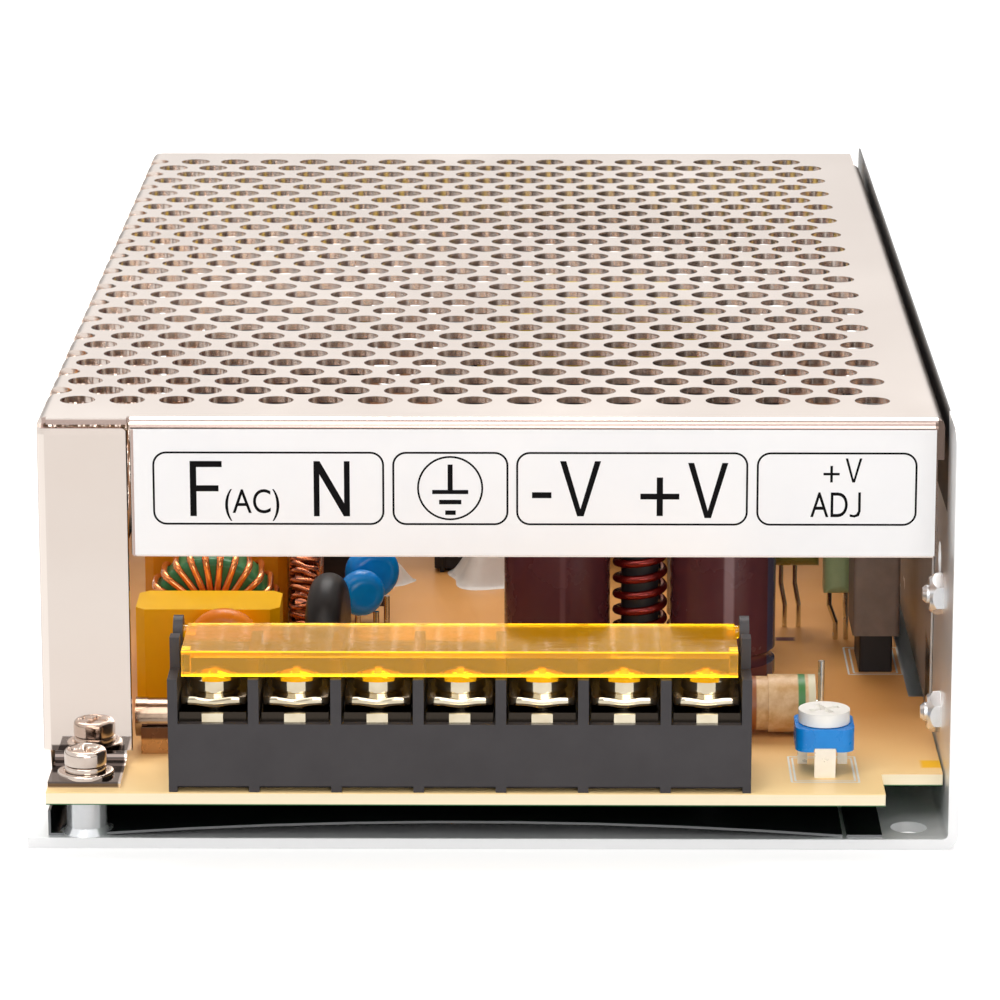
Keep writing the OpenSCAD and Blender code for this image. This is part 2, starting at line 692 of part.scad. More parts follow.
module varistor() color("darkorange") in_frame() translate(varistor_at) coated_disc(varistor_r, 3.4);

module thermistor() color("black") in_frame() translate(thermistor_at) rotate(thermistor_turn)
    coated_disc(thermistor_r, 4.6);

module y_capacitors() color("dodgerblue") in_frame() for (k = [0, 1])
    translate(ycap_at[k]) rotate(ycap_turn) coated_disc(ycap_r[k], 3.4);

module choke_core() color("seagreen") in_frame() translate(choke_at) rotate([90, 0, 0]) rotate_extrude()
    translate([choke_in, -choke_depth / 2]) round_rect(choke_out - choke_in, choke_depth, choke_edge);

// Point on a flattened ring round the section of a toroid; a is the angle round the section and
// b the angle round the toroid, whose axis is x
function toroid_ref(a, b) = let (u = cos(a), v = sin(a), k = 1 / pow(pow(u, 6) + pow(v, 6), 1 / 6))
    [k * v, k * u * cos(b), k * u * sin(b)];
function toroid_point(a, b, mid, half_r, half_w) =
    let (q = toroid_ref(a, b), radial = norm([q[1], q[2]]) * sign(cos(a)))
    [q[0] * half_w, (mid + radial * half_r) * cos(b), (mid + radial * half_r) * sin(b)];

module toroid_winding(inner, outer, width, wire_r, turns, steps, start, sweep, sides) {
    mid = (inner + outer) / 2;
    half_r = (outer - inner) / 2 + wire_r + 0.12;
    half_w = width / 2 + wire_r + 0.12;
    count = turns * steps;
    wire([for (i = [0:count]) toroid_point(360 * i / steps, start + sweep * i / count, mid, half_r, half_w)],
         [for (i = [0:count]) toroid_ref(360 * i / steps, start + sweep * i / count)], wire_r, sides);
}

module choke_windings() color("chocolate") in_frame() translate(choke_at) rotate(90) for (start = [14, 194])
    toroid_winding(choke_in, choke_out, choke_depth, choke_wire, choke_turns, choke_steps, start, 152, 6);

module line_inductor() color("peru") in_frame() translate(inductor_at) {
    toroid_winding(4.6, 8.2, 2.4, inductor_wire, 26, 10, 0, 346, 6);
    rotate([0, 90, 0]) translate([0, 0, -1.2]) difference() {
        cylinder(r = 8.2, h = 2.4);
        translate([0, 0, -1]) cylinder(r = 4.6, h = 5);
    }
}

bridge_size = [25, 4.6, 17];
bridge_at = [cover_left + bridge_size[0] / 2 + 15.5, choke_at[1] + 28];
bridge_lift = 3;
bridge_pitch = 5;
module bridge_rectifier() color("black") in_frame()
    translate([bridge_at[0], bridge_at[1], board_top + bridge_lift]) difference() {
        translate([-bridge_size[0] / 2, -bridge_size[1] / 2, 0]) cube(bridge_size);
        translate([0, 0, 10]) rotate([90, 0, 0]) cylinder(r = 1.7, h = 10, center = true);
        translate([-bridge_size[0] / 2, 0, bridge_size[2]]) rotate([0, 45, 0])
            cube([4, 10, 4], center = true);
    }

bulk_r = 12;
bulk_h = 34;
bulk_gap = 2;
bulk_at = [for (k = [0, 1])
    [cover_left + bulk_r + 13, bridge_at[1] + bulk_r + 9 + k * (2 * bulk_r + bulk_gap)]];

// Electrolytic can: rolled edge, crimp near the foot and scored top
module can(r, h) difference() {
    rotate_extrude() difference() {
        union() {
            translate([0, 0.8]) square([r, h - 1.6]);
            square([r - 0.8, h]);
            for (z = [0.8, h - 0.8]) translate([r - 0.8, z]) circle(0.8);
        }
        translate([r + 0.25, 3.4]) circle(0.9);
        translate([-1, h - 0.4]) square([r - 0.6, 2]);
    }
    for (a = [0, 90]) rotate(a) translate([-r * 0.6, -0.2, h - 0.7]) cube([r * 1.2, 0.4, 1]);
}

module bulk_capacitors() color("black") in_frame() for (p = bulk_at) translate([p[0], p[1], board_top])
    can(bulk_r, bulk_h);

// ---------------------------------------------------------------- transformer and cooled parts

sink_t = 3.2;
sink_l = 56;
sink_h = 23;
sink_at = [board_right - sink_t - 0.6, choke_at[1] + 42];
transistor_t = 4.6;
transistor_pitch = 19;

// The transformer stands between the large cans and the power transistors
between = sink_at[0] - transistor_t - bulk_at[0][0] - bulk_r;
trafo_at = [bulk_at[0][0] + bulk_r + 0.52 * between, case_l / 2 + 32];
core_w = 49;
core_d = 40;
core_h = 18;
core_leg = 4.6;
coil_w = 38.4;
coil_l = 26;
coil_h = 35;
trafo_z = board_top + coil_h / 2 + 0.2;

module transformer_core() color("dimgray") in_frame() translate([trafo_at[0], trafo_at[1], trafo_z]) {
    difference() {
        cube([core_w, core_d, core_h], center = true);
        cube([core_w - 2 * core_leg, coil_l + 1.4, core_h + 2], center = true);
    }
    cube([13, core_d - 1, core_h - 4], center = true);
}

module transformer_coil() color("gold") in_frame() translate([trafo_at[0], trafo_at[1], trafo_z])
    difference() {
        translate([0, coil_l / 2, 0]) rotate([90, 0, 0]) linear_extrude(coil_l)
            translate([-coil_w / 2, -coil_h / 2]) round_rect(coil_w, coil_h, 12);
        cube([13.4, coil_l + 2, core_h - 3.6], center = true);
        // edges of the tape turns
        for (y = [-0.25, 0.25]) translate([0, y * coil_l, 0]) rotate([90, 0, 0]) linear_extrude(0.5)
            difference() {
                square([coil_w + 2, coil_h + 2], center = true);
                translate([-coil_w / 2 + 0.3, -coil_h / 2 + 0.3])
                    round_rect(coil_w - 0.6, coil_h - 0.6, 12);
            }
    }

module heat_sink() color("silver") in_frame() translate([sink_at[0], sink_at[1], board_top]) difference() {
    cube([sink_t, sink_l, sink_h]);
    for (k = [0:2]) translate([-1, 9 + transistor_pitch * k, sink_h - 6]) rotate([0, 90, 0])
        cylinder(r = 1.6, h = 10);
}

module power_transistors() color("black") in_frame() for (k = [0:2])
    translate([sink_at[0], sink_at[1] + 9 + transistor_pitch * k, board_top + 4]) {
        difference() {
            translate([-transistor_t, -5.2, 0]) cube([transistor_t, 10.4, 9.5]);
            translate([-5, -6, 9.5]) rotate([0, 20, 0]) cube([2, 12, 2], center = true);
        }
        difference() {
            translate([-1.3, -5.2, 9.5]) cube([1.3, 10.4, 6.2]);
            translate([-2, 0, 13]) rotate([0, 90, 0]) cylinder(r = 1.8, h = 4);
        }
        for (y = [-2.5, 0, 2.5]) translate([-2.9, y - 0.4, -4]) cube([0.5, 0.8, 4]);
    }

// ---------------------------------------------------------------- output side

outcap_r = 7;
outcap_h = 30;
outcap_y = block_back + 37.3;
outcap_rows = 16;           // distance between the two rows of cans
rod_room = 7.9;             // room for the rod inductor between the cans
outcap_x = [notch_x - 2 * outcap_r - rod_room - 18.35, notch_x - 18.35];
rod_x = (outcap_x[0] + outcap_x[1]) / 2;
rod_r = 2.5;
rod_wire = 0.55;
rod_turns = 11;
rod_pitch = 2.2;

module output_capacitors() color("indigo") in_frame()
    for (x = outcap_x, row = [0, 1]) translate([x, outcap_y + row * outcap_rows, board_top])
        can(outcap_r, outcap_h);

module rod_core() color("black") in_frame() translate([rod_x, outcap_y, board_top])
    cylinder(r = rod_r, h = rod_turns * rod_pitch + 3);

module rod_winding() color("firebrick") in_frame() translate([rod_x, outcap_y, board_top + rod_wire + 0.3]) {
    steps = 20;
    mid = rod_r + rod_wire + 0.06;
    wire([for (i = [0:rod_turns * steps])
              [mid * cos(360 * i / steps), mid * sin(360 * i / steps), rod_pitch * i / steps + 0.4]],
         [for (i = [0:rod_turns * steps]) [cos(360 * i / steps), sin(360 * i / steps), 0]], rod_wire, 7);
}

polyester_at = [notch_x - 7.5, outcap_y + 23.5, board_top + 9];
film_at = [notch_x - 2.1, outcap_y + 17.3, board_top + 7];
rectifier_at = [notch_x + 2.15, outcap_y + 6.5];
rectifier_w = 6.2;            // sleeve
rectifier_foot = 5;          // height of the foot below the sleeve
rectifier_d = 11;

// Dipped capacitor with round edges
module dipped_block(w, d, h, r) intersection() {
    round_block(w, d, h, r);
    rotate([90, 0, 90]) translate([-d / 2, 0, -w / 2]) linear_extrude(w) round_rect(d, h, r);
}

module polyester_capacitor() color("olive") in_frame() translate(polyester_at)
    dipped_block(6.2, 4.4, 13, 1.4);

module film_capacitor() color("darkseagreen") in_frame() translate(film_at) dipped_block(3.9, 5.6, 10, 1.2);

module output_rectifier() color("black") in_frame()
    translate([rectifier_at[0], rectifier_at[1], board_top]) {
        round_block(rectifier_w - 1.8, rectifier_d - 0.4, rectifier_foot, 0.3);
        translate([0, 0, rectifier_foot - eps]) round_block(rectifier_w - 1.8, rectifier_d - 1.8, 14, 0.3);
    }

module rectifier_sleeve() color("rosybrown") in_frame()
    translate([rectifier_at[0], rectifier_at[1], board_top + rectifier_foot]) difference() {
        round_block(rectifier_w, rectifier_d, 18, 0.6);
        translate([0, 0, -1]) round_block(rectifier_w - 1.6, rectifier_d - 1.6, 15.2, 0.3);
    }

chip_at = [cover_left + 50, case_l - 36];
module control_chip() color("black") in_frame() translate([chip_at[0], chip_at[1], board_top]) {
    difference() {
        translate([-9.6, -3.2, 0.6]) cube([19.2, 6.4, 3.4]);
        translate([-9.6, 0, 3.6]) cylinder(r = 1, h = 2);
    }
    for (x = [-8.9:2.54:9], y = [-3.7, 3.2]) translate([x - 0.3, y, 0]) cube([0.6, 0.5, 2.4]);
}

coupler_at = [cover_left + 49.2, choke_at[1] + 58.5];
axial_pitch = 5;
axial_x = chip_at[0] + 16;
module small_parts() color("black") in_frame() {
    // optocoupler
    translate([coupler_at[0], coupler_at[1], board_top]) {
        translate([-2.4, -3.2, 0.5]) cube([4.8, 6.4, 3.4]);
        for (x = [-1.6, 1], y = [-3.7, 3.2]) translate([x, y, 0]) cube([0.6, 0.5, 2.2]);
    }
    // axial resistors in a row beside the chip
    for (k = [0:5]) translate([axial_x + axial_pitch * k, chip_at[1], board_top + 1.3]) rotate([90, 0, 0])
        translate([0, 0, -3.2]) cylinder(r = 1.2, h = 6.4);
}

// Straight lead from the board up to a body
lead_r = 0.4;
module lead(x, y, top, r = lead_r) translate([x, y, board_top]) cylinder(r = r, h = top - board_top);

// Lead with a kink to the side by dx half way up
module kinked_lead(at, top, dx) {
    rise = top - board_top;
    wire([[at[0] + dx, at[1], board_top], [at[0] + dx, at[1], board_top + 0.35 * rise],
          [at[0], at[1], board_top + 0.7 * rise], [at[0], at[1], top]],
         [for (k = [1:4]) [0, 1, 0]], 0.35, 8);
}

// Height from the centre of a disc down to its rim over a lead that stands at side distance x
function disc_foot(disc_r, x) = sqrt(disc_r * disc_r - (x - lead_r) * (x - lead_r)) + 0.1;

module component_leads() color("gainsboro") in_frame() {
    for (side = [-1, 1]) {
        lead(varistor_at[0] + side * 2.5, varistor_at[1], varistor_at[2] - disc_foot(varistor_r, 2.5));
        lead(thermistor_at[0], thermistor_at[1] + side * 3, thermistor_at[2] - disc_foot(thermistor_r, 3));
        for (k = [0, 1]) lead(ycap_at[k][0] + side * 1.9, ycap_at[k][1] + side * 0.7,
                              ycap_at[k][2] - disc_foot(ycap_r[k], 2));
        kinked_lead([polyester_at[0] - 1.1 + side * 0.95, polyester_at[1]], polyester_at[2] - 0.05, 0.6);
        kinked_lead([film_at[0] + side * 1.1, film_at[1]], film_at[2] - 0.05, 0.5 - side * 0.4);
        // the bleeder resistor stands between two leads, and one rises past its end
        translate([resistor_at[0] + (side > 0 ? resistor_l + 0.8 : -0.8), resistor_at[1], board_top])
            cylinder(r = lead_r, h = side > 0 ? 9.6 : resistor_r + 0.7);
        translate([resistor_at[0] + (side > 0 ? resistor_l + 0.05 : -0.85), resistor_at[1], resistor_at[2]])
            rotate([0, 90, 0]) cylinder(r = lead_r, h = 0.8);
    }
    for (k = [-1.5:1.5])
        lead(bridge_at[0] + bridge_pitch * k, bridge_at[1], board_top + bridge_lift - 0.05, 0.5);
    for (k = [0:5], side = [-1, 1])
        lead(axial_x + axial_pitch * k, chip_at[1] + side * 3.7, board_top + 1.6, 0.3);
}

// ---------------------------------------------------------------- nodes

chassis();
cover();
label();
board();
base_film();
wall_film();
standoffs();
board_screws();
tab_washers();
case_screws();
wall_screws();
wall_nuts();
terminal_block();
terminal_contacts();
terminal_cover();
for (i = [1:poles]) terminal_screw(i);
for (i = [1:poles]) wire_clamp(i);
trimmer_body();
trimmer_dial();
trimmer_legs();
fuse_tube();
fuse_caps();
fuse_clips();
bleeder_resistor();
x_capacitor();
line_capacitor();
varistor();
choke_core();
choke_windings();
line_inductor();
thermistor();
y_capacitors();
bridge_rectifier();
bulk_capacitors();
transformer_core();
transformer_coil();
heat_sink();
power_transistors();
output_capacitors();
rod_core();
rod_winding();
polyester_capacitor();
film_capacitor();
output_rectifier();
rectifier_sleeve();
control_chip();
small_parts();
component_leads();
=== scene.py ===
import math

import bpy
import numpy as np
from bpy.props import FloatProperty, FloatVectorProperty, IntProperty, PointerProperty
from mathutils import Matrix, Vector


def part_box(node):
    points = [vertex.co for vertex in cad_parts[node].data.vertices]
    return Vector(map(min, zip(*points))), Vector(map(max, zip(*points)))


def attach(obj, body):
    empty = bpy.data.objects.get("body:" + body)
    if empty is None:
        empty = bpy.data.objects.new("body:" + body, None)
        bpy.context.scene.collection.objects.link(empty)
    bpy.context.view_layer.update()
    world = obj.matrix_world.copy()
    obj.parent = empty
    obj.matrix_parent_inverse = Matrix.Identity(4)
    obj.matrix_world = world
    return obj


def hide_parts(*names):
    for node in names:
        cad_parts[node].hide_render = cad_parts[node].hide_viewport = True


bl_info = {
    "name": "Mesh case power supply",
    "version": (1, 0, 0),
    "blender": (4, 5, 0),
    "location": "View3D > Sidebar > Power supply",
    "description": "Dresses a switching power supply in a perforated case with its finishes and fine parts",
    "category": "Object",
}

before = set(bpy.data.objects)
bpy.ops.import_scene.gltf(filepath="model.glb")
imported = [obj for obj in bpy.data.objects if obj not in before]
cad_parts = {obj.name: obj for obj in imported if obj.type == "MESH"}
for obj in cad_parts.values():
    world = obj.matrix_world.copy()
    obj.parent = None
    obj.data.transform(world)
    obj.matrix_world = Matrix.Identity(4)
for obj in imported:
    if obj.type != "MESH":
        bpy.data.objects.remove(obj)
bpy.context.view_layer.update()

MM = 0.001
X, Y, Z = np.eye(3)
EVEN = (1, 1, 1)

# Sizes of the solids that their boxes don't give, in millimetres
POST_WIDTH = 11.2
CHOKE_BORE, CHOKE_WIRE = 3.7, 0.46
INDUCTOR_BORE, INDUCTOR_WIRE = 4.6, 0.42
ROD_WIRE = 0.55


# --- sizes read from the frame


def low_high(node):
    """Lowest and highest corner of a node, as arrays in millimetres."""
    return [np.array(corner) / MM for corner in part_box(node)]


def middle(node):
    """Centre of a node's box in millimetres."""
    low, high = low_high(node)
    return (low + high) / 2


BOARD_LOW, BOARD_HIGH = low_high("board")
BOARD_TOP = BOARD_HIGH[2]
POLES = sum(name.startswith("terminal_screw_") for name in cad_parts)


def srgb(red, green, blue):
    """Linear colour of a screen colour whose parts run from 0 to 255."""
    parts = np.array([red, green, blue]) / 255
    linear = np.where(parts <= 0.04045, parts / 12.92, ((parts + 0.055) / 1.055) ** 2.4)
    return tuple(float(v) for v in linear)


def tone(color):
    """Linear colour: a tuple is a screen colour, and a setting is linear already."""
    return srgb(*color) if isinstance(color, tuple) else color


# --- surfaces


def build_mesh(name, points, polygons, smooth=True):
    """Mesh from an (n, 3) array of points in millimetres and index arrays, one for each corner count."""
    mesh = bpy.data.meshes.new(name)
    points = np.ascontiguousarray(points, dtype=np.float32) * MM
    corners = np.concatenate([p.ravel() for p in polygons]).astype(np.int32)
    counts = np.concatenate([np.full(len(p), p.shape[1]) for p in polygons])
    starts = np.concatenate([[0], np.cumsum(counts)[:-1]]).astype(np.int32)
    mesh.vertices.add(len(points))
    mesh.vertices.foreach_set("co", points.ravel())
    mesh.loops.add(len(corners))
    mesh.loops.foreach_set("vertex_index", corners)
    mesh.polygons.add(len(counts))
    mesh.polygons.foreach_set("loop_start", starts)
    mesh.update(calc_edges=True)
    mesh.polygons.foreach_set("use_smooth", np.full(len(counts), smooth))
    mesh.validate()
    return mesh


def grid_quads(rows, cols, close_cols=False):
    """Quads of a grid whose point (i, j) has index i * cols + j; close_cols joins the last column to the first."""
    i, j = np.meshgrid(np.arange(rows - 1), np.arange(cols - (0 if close_cols else 1)), indexing="ij")
    k = (j + 1) % cols
    return np.stack([i * cols + j, i * cols + k, (i + 1) * cols + k, (i + 1) * cols + j], -1).reshape(-1, 4)


def join(*parts):
    """Joins (points, polygons) parts into one."""
    points, polygons, base = [], [], 0
    for part_points, part_polygons in parts:
        points.append(part_points)
        polygons.extend(p + base for p in part_polygons)
        base += len(part_points)
    return np.concatenate(points), polygons


def place(name, parts, material, body="case", replaces=(), sharp=None, smooth=True):
    """Joins (points, polygons) parts into a mesh, and puts it in the scene as a piece that rides on a body."""
    mesh = build_mesh(name, *join(*parts), smooth)
    piece = bpy.data.objects.new(name, mesh)
    bpy.context.scene.collection.objects.link(piece)
    mesh.materials.append(material)
    if sharp is not None:
        mesh.set_sharp_from_angle(angle=math.radians(sharp))
    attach(piece, body)
    if replaces:
        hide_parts(*replaces)


def lathe(profile, centre, axis=Z, sides=48):
    """Surface of revolution: each profile point (radius, height) becomes a ring round the axis."""
    first = X if abs(axis[0]) < 0.9 else Y
    first = first - axis * first.dot(axis)
    first /= np.linalg.norm(first)
    second = np.cross(axis, first)
    angle = np.linspace(0, 2 * np.pi, sides, endpoint=False)
    round_dir = np.cos(angle)[:, None] * first + np.sin(angle)[:, None] * second
    radius, height = np.array(profile, float).T[:, :, None, None]
    points = np.array(centre) + axis * height + round_dir * radius
    return points.reshape(-1, 3), [grid_quads(len(profile), sides, close_cols=True)]


def tube(path, out, radius, sides=12):
    """Round tube: rings of the radius along the path, square to it, with a flat end at both ends. out holds a
    direction for each point that the rings are counted from."""
    path, out = np.array(path, float), np.array(out, float)
    along = np.gradient(path, axis=0)
    along /= np.linalg.norm(along, axis=1)[:, None]
    side = np.cross(along, out)
    side /= np.linalg.norm(side, axis=1)[:, None]
    out = np.cross(side, along)
    angle = np.linspace(0, 2 * np.pi, sides, endpoint=False)
    ring = np.cos(angle)[None, :, None] * out[:, None] + np.sin(angle)[None, :, None] * side[:, None]
    points = (path[:, None] + radius * ring).reshape(-1, 3)
    count = len(path)
    ends = [np.arange(sides)[::-1][None], (count - 1) * sides + np.arange(sides)[None]]
    return points, [grid_quads(count, sides, close_cols=True), *ends]


def toroid_turns(inner, outer, width, wire, turns, steps, start, sweep, wander=0.0):
    """Path of a coil round a ring whose axis is x. The section is a rounded square: each turn runs round a
    superellipse of the sixth power, while the coil moves round the ring from start through sweep degrees.
    wander lets the turns stray along the ring by a slow wave."""
    count = turns * steps
    a = np.linspace(0, 2 * np.pi * turns, count + 1)
    b = np.radians(start + sweep * np.linspace(0, 1, count + 1)) + wander * 0.2 * np.sin(2.3 * a) * np.sin(0.37 * a)
    u, v = np.cos(a), np.sin(a)
    k = (u**6 + v**6) ** (-1 / 6)
    out = np.stack([k * v, k * u * np.cos(b), k * u * np.sin(b)], -1)
    radius = (inner + outer) / 2 + k * u * ((outer - inner) / 2 + wire + 0.06)
    path = np.stack([k * v * (width / 2 + wire + 0.06), radius * np.cos(b), radius * np.sin(b)], -1)
    return path, out


def arc(centre, radius, start, end, steps=8):
    """Points of an arc in the plane, from one angle to another in degrees."""
    angle = np.radians(np.linspace(start, end, steps + 1))
    return np.array(centre) + radius * np.stack([np.cos(angle), np.sin(angle)], -1)


def round_rect(low, high, radius, steps=8):
    """Counterclockwise outline of a rectangle with round corners."""
    (x0, y0), (x1, y1) = low, high
    return np.concatenate(
        [
            arc((x1 - radius, y0 + radius), radius, -90, 0, steps),
            arc((x1 - radius, y1 - radius), radius, 0, 90, steps),
            arc((x0 + radius, y1 - radius), radius, 90, 180, steps),
            arc((x0 + radius, y0 + radius), radius, 180, 270, steps),
        ]
    )


def outline_strip(outer, inner, origin, right, up):
    """Flat strip between two closed outlines of equal length."""
    both = np.concatenate([np.array(outer), np.array(inner)])
    points = np.array(origin) + both[:, :1] * np.array(right) + both[:, 1:] * np.array(up)
    count = len(outer)
    i = np.arange(count)
    return points, [np.stack([i, (i + 1) % count, (i + 1) % count + count, i + count], -1)]


# --- effects shared by the finishes


def new_group(name, **inputs):
    """Shader group with inputs given by their defaults and one output, Mask. Returns it with its inputs' sockets,
    the object's own coordinates, and a function that feeds the output."""
    group = bpy.data.node_groups.new(name, "ShaderNodeTree")
    for label, value in inputs.items():
        kind = "NodeSocketVector" if isinstance(value, tuple) else "NodeSocketFloat"
        group.interface.new_socket(label, in_out="INPUT", socket_type=kind).default_value = value
    group.interface.new_socket("Mask", in_out="OUTPUT", socket_type="NodeSocketFloat")
    given, result = group.nodes.new("NodeGroupInput"), group.nodes.new("NodeGroupOutput")
    where = group.nodes.new("ShaderNodeTexCoord").outputs["Object"]

    def close(mask, clamp=False):
        mask.use_clamp = clamp
        group.links.new(mask.outputs[0], result.inputs["Mask"])
        return group

    return group, given.outputs, where, close


def add_node(tree, kind, settings=None, **links):
    """Adds a node, sets its properties, and feeds its inputs by name with sockets or plain values."""
    node = tree.nodes.new(kind)
    for key, value in (settings or {}).items():
        setattr(node, key, value)
    for key, value in links.items():
        socket = node.inputs[int(key[1:])] if key[0] == "_" else node.inputs[key.replace("_", " ")]
        if isinstance(value, bpy.types.NodeSocket):
            tree.links.new(value, socket)
        else:
            socket.default_value = value
    return node


def math_node(tree, operation, *values):
    """Math node with its inputs in order."""
    return add_node(tree, "ShaderNodeMath", {"operation": operation}, **{f"_{i}": v for i, v in enumerate(values)})


def vector_node(tree, operation, **links):
    """Vector math node."""
    return add_node(tree, "ShaderNodeVectorMath", {"operation": operation}, **links).outputs


def make_mottle():
    """Cloudy variation: noise on the object's own coordinates, stretched, with its contrast raised about 0.5."""
    group, given, where, close = new_group("mottle", Scale=200.0, Stretch=EVEN, Detail=4.0, Contrast=2.0)
    spread = vector_node(group, "MULTIPLY", _0=where, _1=given["Stretch"])
    noise = add_node(group, "ShaderNodeTexNoise", Vector=spread[0], Scale=given["Scale"], Detail=given["Detail"],
                     Roughness=0.6)
    centred = math_node(group, "SUBTRACT", noise.outputs["Fac"], 0.5)
    return close(math_node(group, "MULTIPLY_ADD", centred.outputs[0], given["Contrast"], 0.5), True)


def make_patch():
    """Box mask: 1 where the object's own coordinates lie between Low and High (metres), with soft sides."""
    group, given, where, close = new_group("patch", Low=(0, 0, 0), High=(0.01, 0.01, 0.01), Soft=0.0001)
    steep = math_node(group, "DIVIDE", 1.0, given["Soft"]).outputs[0]
    sides = []
    for first, second in ((where, given["Low"]), (given["High"], where)):
        depth = vector_node(group, "SUBTRACT", _0=first, _1=second)
        sides.append(vector_node(group, "SCALE", _0=depth[0], Scale=steep)[0])
    least = vector_node(group, "MINIMUM", _0=sides[0], _1=sides[1])
    parts = add_node(group, "ShaderNodeSeparateXYZ", Vector=least[0]).outputs
    flat = math_node(group, "MINIMUM", parts["X"], parts["Y"])
    return close(math_node(group, "MINIMUM", flat.outputs[0], parts["Z"]), True)


def make_lines():
    """Fine parallel lines across a direction: a sine of the distance, Pitch metres from line to line."""
    group, given, where, close = new_group("lines", Direction=(0, 0, 1), Pitch=0.0005)
    reach = vector_node(group, "DOT_PRODUCT", _0=where, _1=given["Direction"])
    turns = math_node(group, "DIVIDE", reach["Value"], given["Pitch"])
    wave = math_node(group, "SINE", math_node(group, "MULTIPLY", turns.outputs[0], 2 * math.pi).outputs[0])
    return close(math_node(group, "MULTIPLY_ADD", wave.outputs[0], 0.5, 0.5))


EFFECTS = {}


def effect(tree, name, **values):
    """Places one of the shared effects in a material."""
    if name not in EFFECTS:
        EFFECTS[name] = {"mottle": make_mottle, "patch": make_patch, "lines": make_lines}[name]()
    return add_node(tree, "ShaderNodeGroup", {"node_tree": EFFECTS[name]}, **values).outputs["Mask"]


def mix(tree, mask, first, second):
    """Colour mix; first and second are colours or sockets."""
    node = tree.nodes.new("ShaderNodeMix")
    node.data_type = "RGBA"
    tree.links.new(mask, node.inputs["Factor"])
    for key, value in (("A", first), ("B", second)):
        socket = next(s for s in node.inputs if s.name == key and s.type == "RGBA")
        if isinstance(value, bpy.types.NodeSocket):
            tree.links.new(value, socket)
        else:
            socket.default_value = (*value[:3], 1)
    return next(s for s in node.outputs if s.type == "RGBA")


def patch_mask(tree, low, high, soft):
    """Mask of a box given in millimetres."""
    return effect(tree, "patch", Low=np.array(low) * MM, High=np.array(high) * MM, Soft=soft * MM)


def paint_patches(tree, base, patches):
    """Colour with box patches (low, high, soft, colour) painted over it in order."""
    for low, high, soft, color in patches:
        base = mix(tree, patch_mask(tree, low, high, soft), base, tone(color))
    return base


def make_finish(name, color, second, mottle, rough, bump=None, patches=(), layers=None, polish=None, dull=None,
                glow=None, on=None, **constants):
    """Material: colour mottled between two colours, then painted with box patches (low, high, soft, colour) and
    fine lines; roughness varied between two values by the same mottle, and set inside the polish box; metal turns
    to a plain coat inside the dull box; bump from a finer mottle; glow is a dim colour of its own with brighter
    patches. on holds a slot name, which is not used, and the CAD nodes that wear it. constants are fixed values
    of the shader's sockets, by name."""
    material = bpy.data.materials.new(name)
    material.use_nodes = True
    tree = material.node_tree
    shader = tree.nodes["Principled BSDF"]
    for key, value in constants.items():
        shader.inputs[key.replace("_", " ")].default_value = value
    scale, contrast, stretch = (*mottle, EVEN)[:3]
    mask = effect(tree, "mottle", Scale=scale, Stretch=stretch, Contrast=contrast)
    paint = mix(tree, mask, tone(color), tone(second))
    paint = paint_patches(tree, paint, patches)
    if layers:
        direction, pitch, line_color = layers
        paint = mix(tree, effect(tree, "lines", Direction=direction, Pitch=pitch * MM), paint, tone(line_color))
    tree.links.new(paint, shader.inputs["Base Color"])
    spread = math_node(tree, "MULTIPLY_ADD", mask, rough[1] - rough[0], rough[0]).outputs[0]
    if polish:
        low, high, soft, smooth = polish
        inside = patch_mask(tree, low, high, soft)
        drop = math_node(tree, "SUBTRACT", smooth, spread).outputs[0]
        spread = math_node(tree, "MULTIPLY_ADD", drop, inside, spread).outputs[0]
    tree.links.new(spread, shader.inputs["Roughness"])
    if dull:
        metal = shader.inputs["Metallic"].default_value
        share = math_node(tree, "MULTIPLY_ADD", patch_mask(tree, *dull), -metal, metal)
        tree.links.new(share.outputs[0], shader.inputs["Metallic"])
    if bump:
        bump_scale, strength, height, bump_stretch = (*bump, EVEN)[:4]
        grain = effect(tree, "mottle", Scale=bump_scale, Stretch=bump_stretch, Contrast=1.5)
        relief = add_node(tree, "ShaderNodeBump", Height=grain, Strength=strength, Distance=height * MM)
        tree.links.new(relief.outputs["Normal"], shader.inputs["Normal"])
    # glow is painted light: an emitted colour, dim overall with brighter emitted patches, that makes a part shine
    # without a lamp
    if glow:
        light, *spots = glow
        light = mix(tree, mask, tone(light), [v * 1.2 for v in tone(light)])
        tree.links.new(paint_patches(tree, light, spots), shader.inputs["Emission Color"])
        shader.inputs["Emission Strength"].default_value = 1.0
    if on:
        dress(material, *on)
    return material


def dress(material, slot, *nodes):
    """Gives CAD nodes a finish in place of their plain one."""
    for node in nodes:
        node_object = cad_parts[node]
        node_object.data.materials.clear()
        node_object.data.materials.append(material)


# --- settings a user would change


def color_prop(name, description, red, green, blue):
    """Colour setting whose default is given as a screen colour."""
    return FloatVectorProperty(name=name, description=description, subtype="COLOR", size=3, min=0, max=1,
                               default=srgb(red, green, blue))


class SupplyColors(bpy.types.PropertyGroup):
    """Colours of the finishes."""

    chassis: color_prop("Chassis", "Zinc coated sheet of the base and the tall wall", 232, 235, 236)
    cover: color_prop("Cover", "Nickel coated sheet of the perforated cover", 228, 214, 205)
    board: color_prop("Board", "Top of the circuit board", 255, 222, 158)
    block: color_prop("Terminal block", "Moulded body of the terminal block", 52, 49, 51)
    lid: color_prop("Terminal cover", "Clear amber plastic over the terminals", 255, 188, 14)
    sleeve: color_prop("Capacitor sleeve", "Shrink sleeve of the two output capacitors", 88, 46, 54)
    tape: color_prop("Transformer tape", "Outer tape of the transformer coil", 236, 208, 62)
    copper: color_prop("Choke wire", "Enamelled copper of the choke", 238, 138, 70)


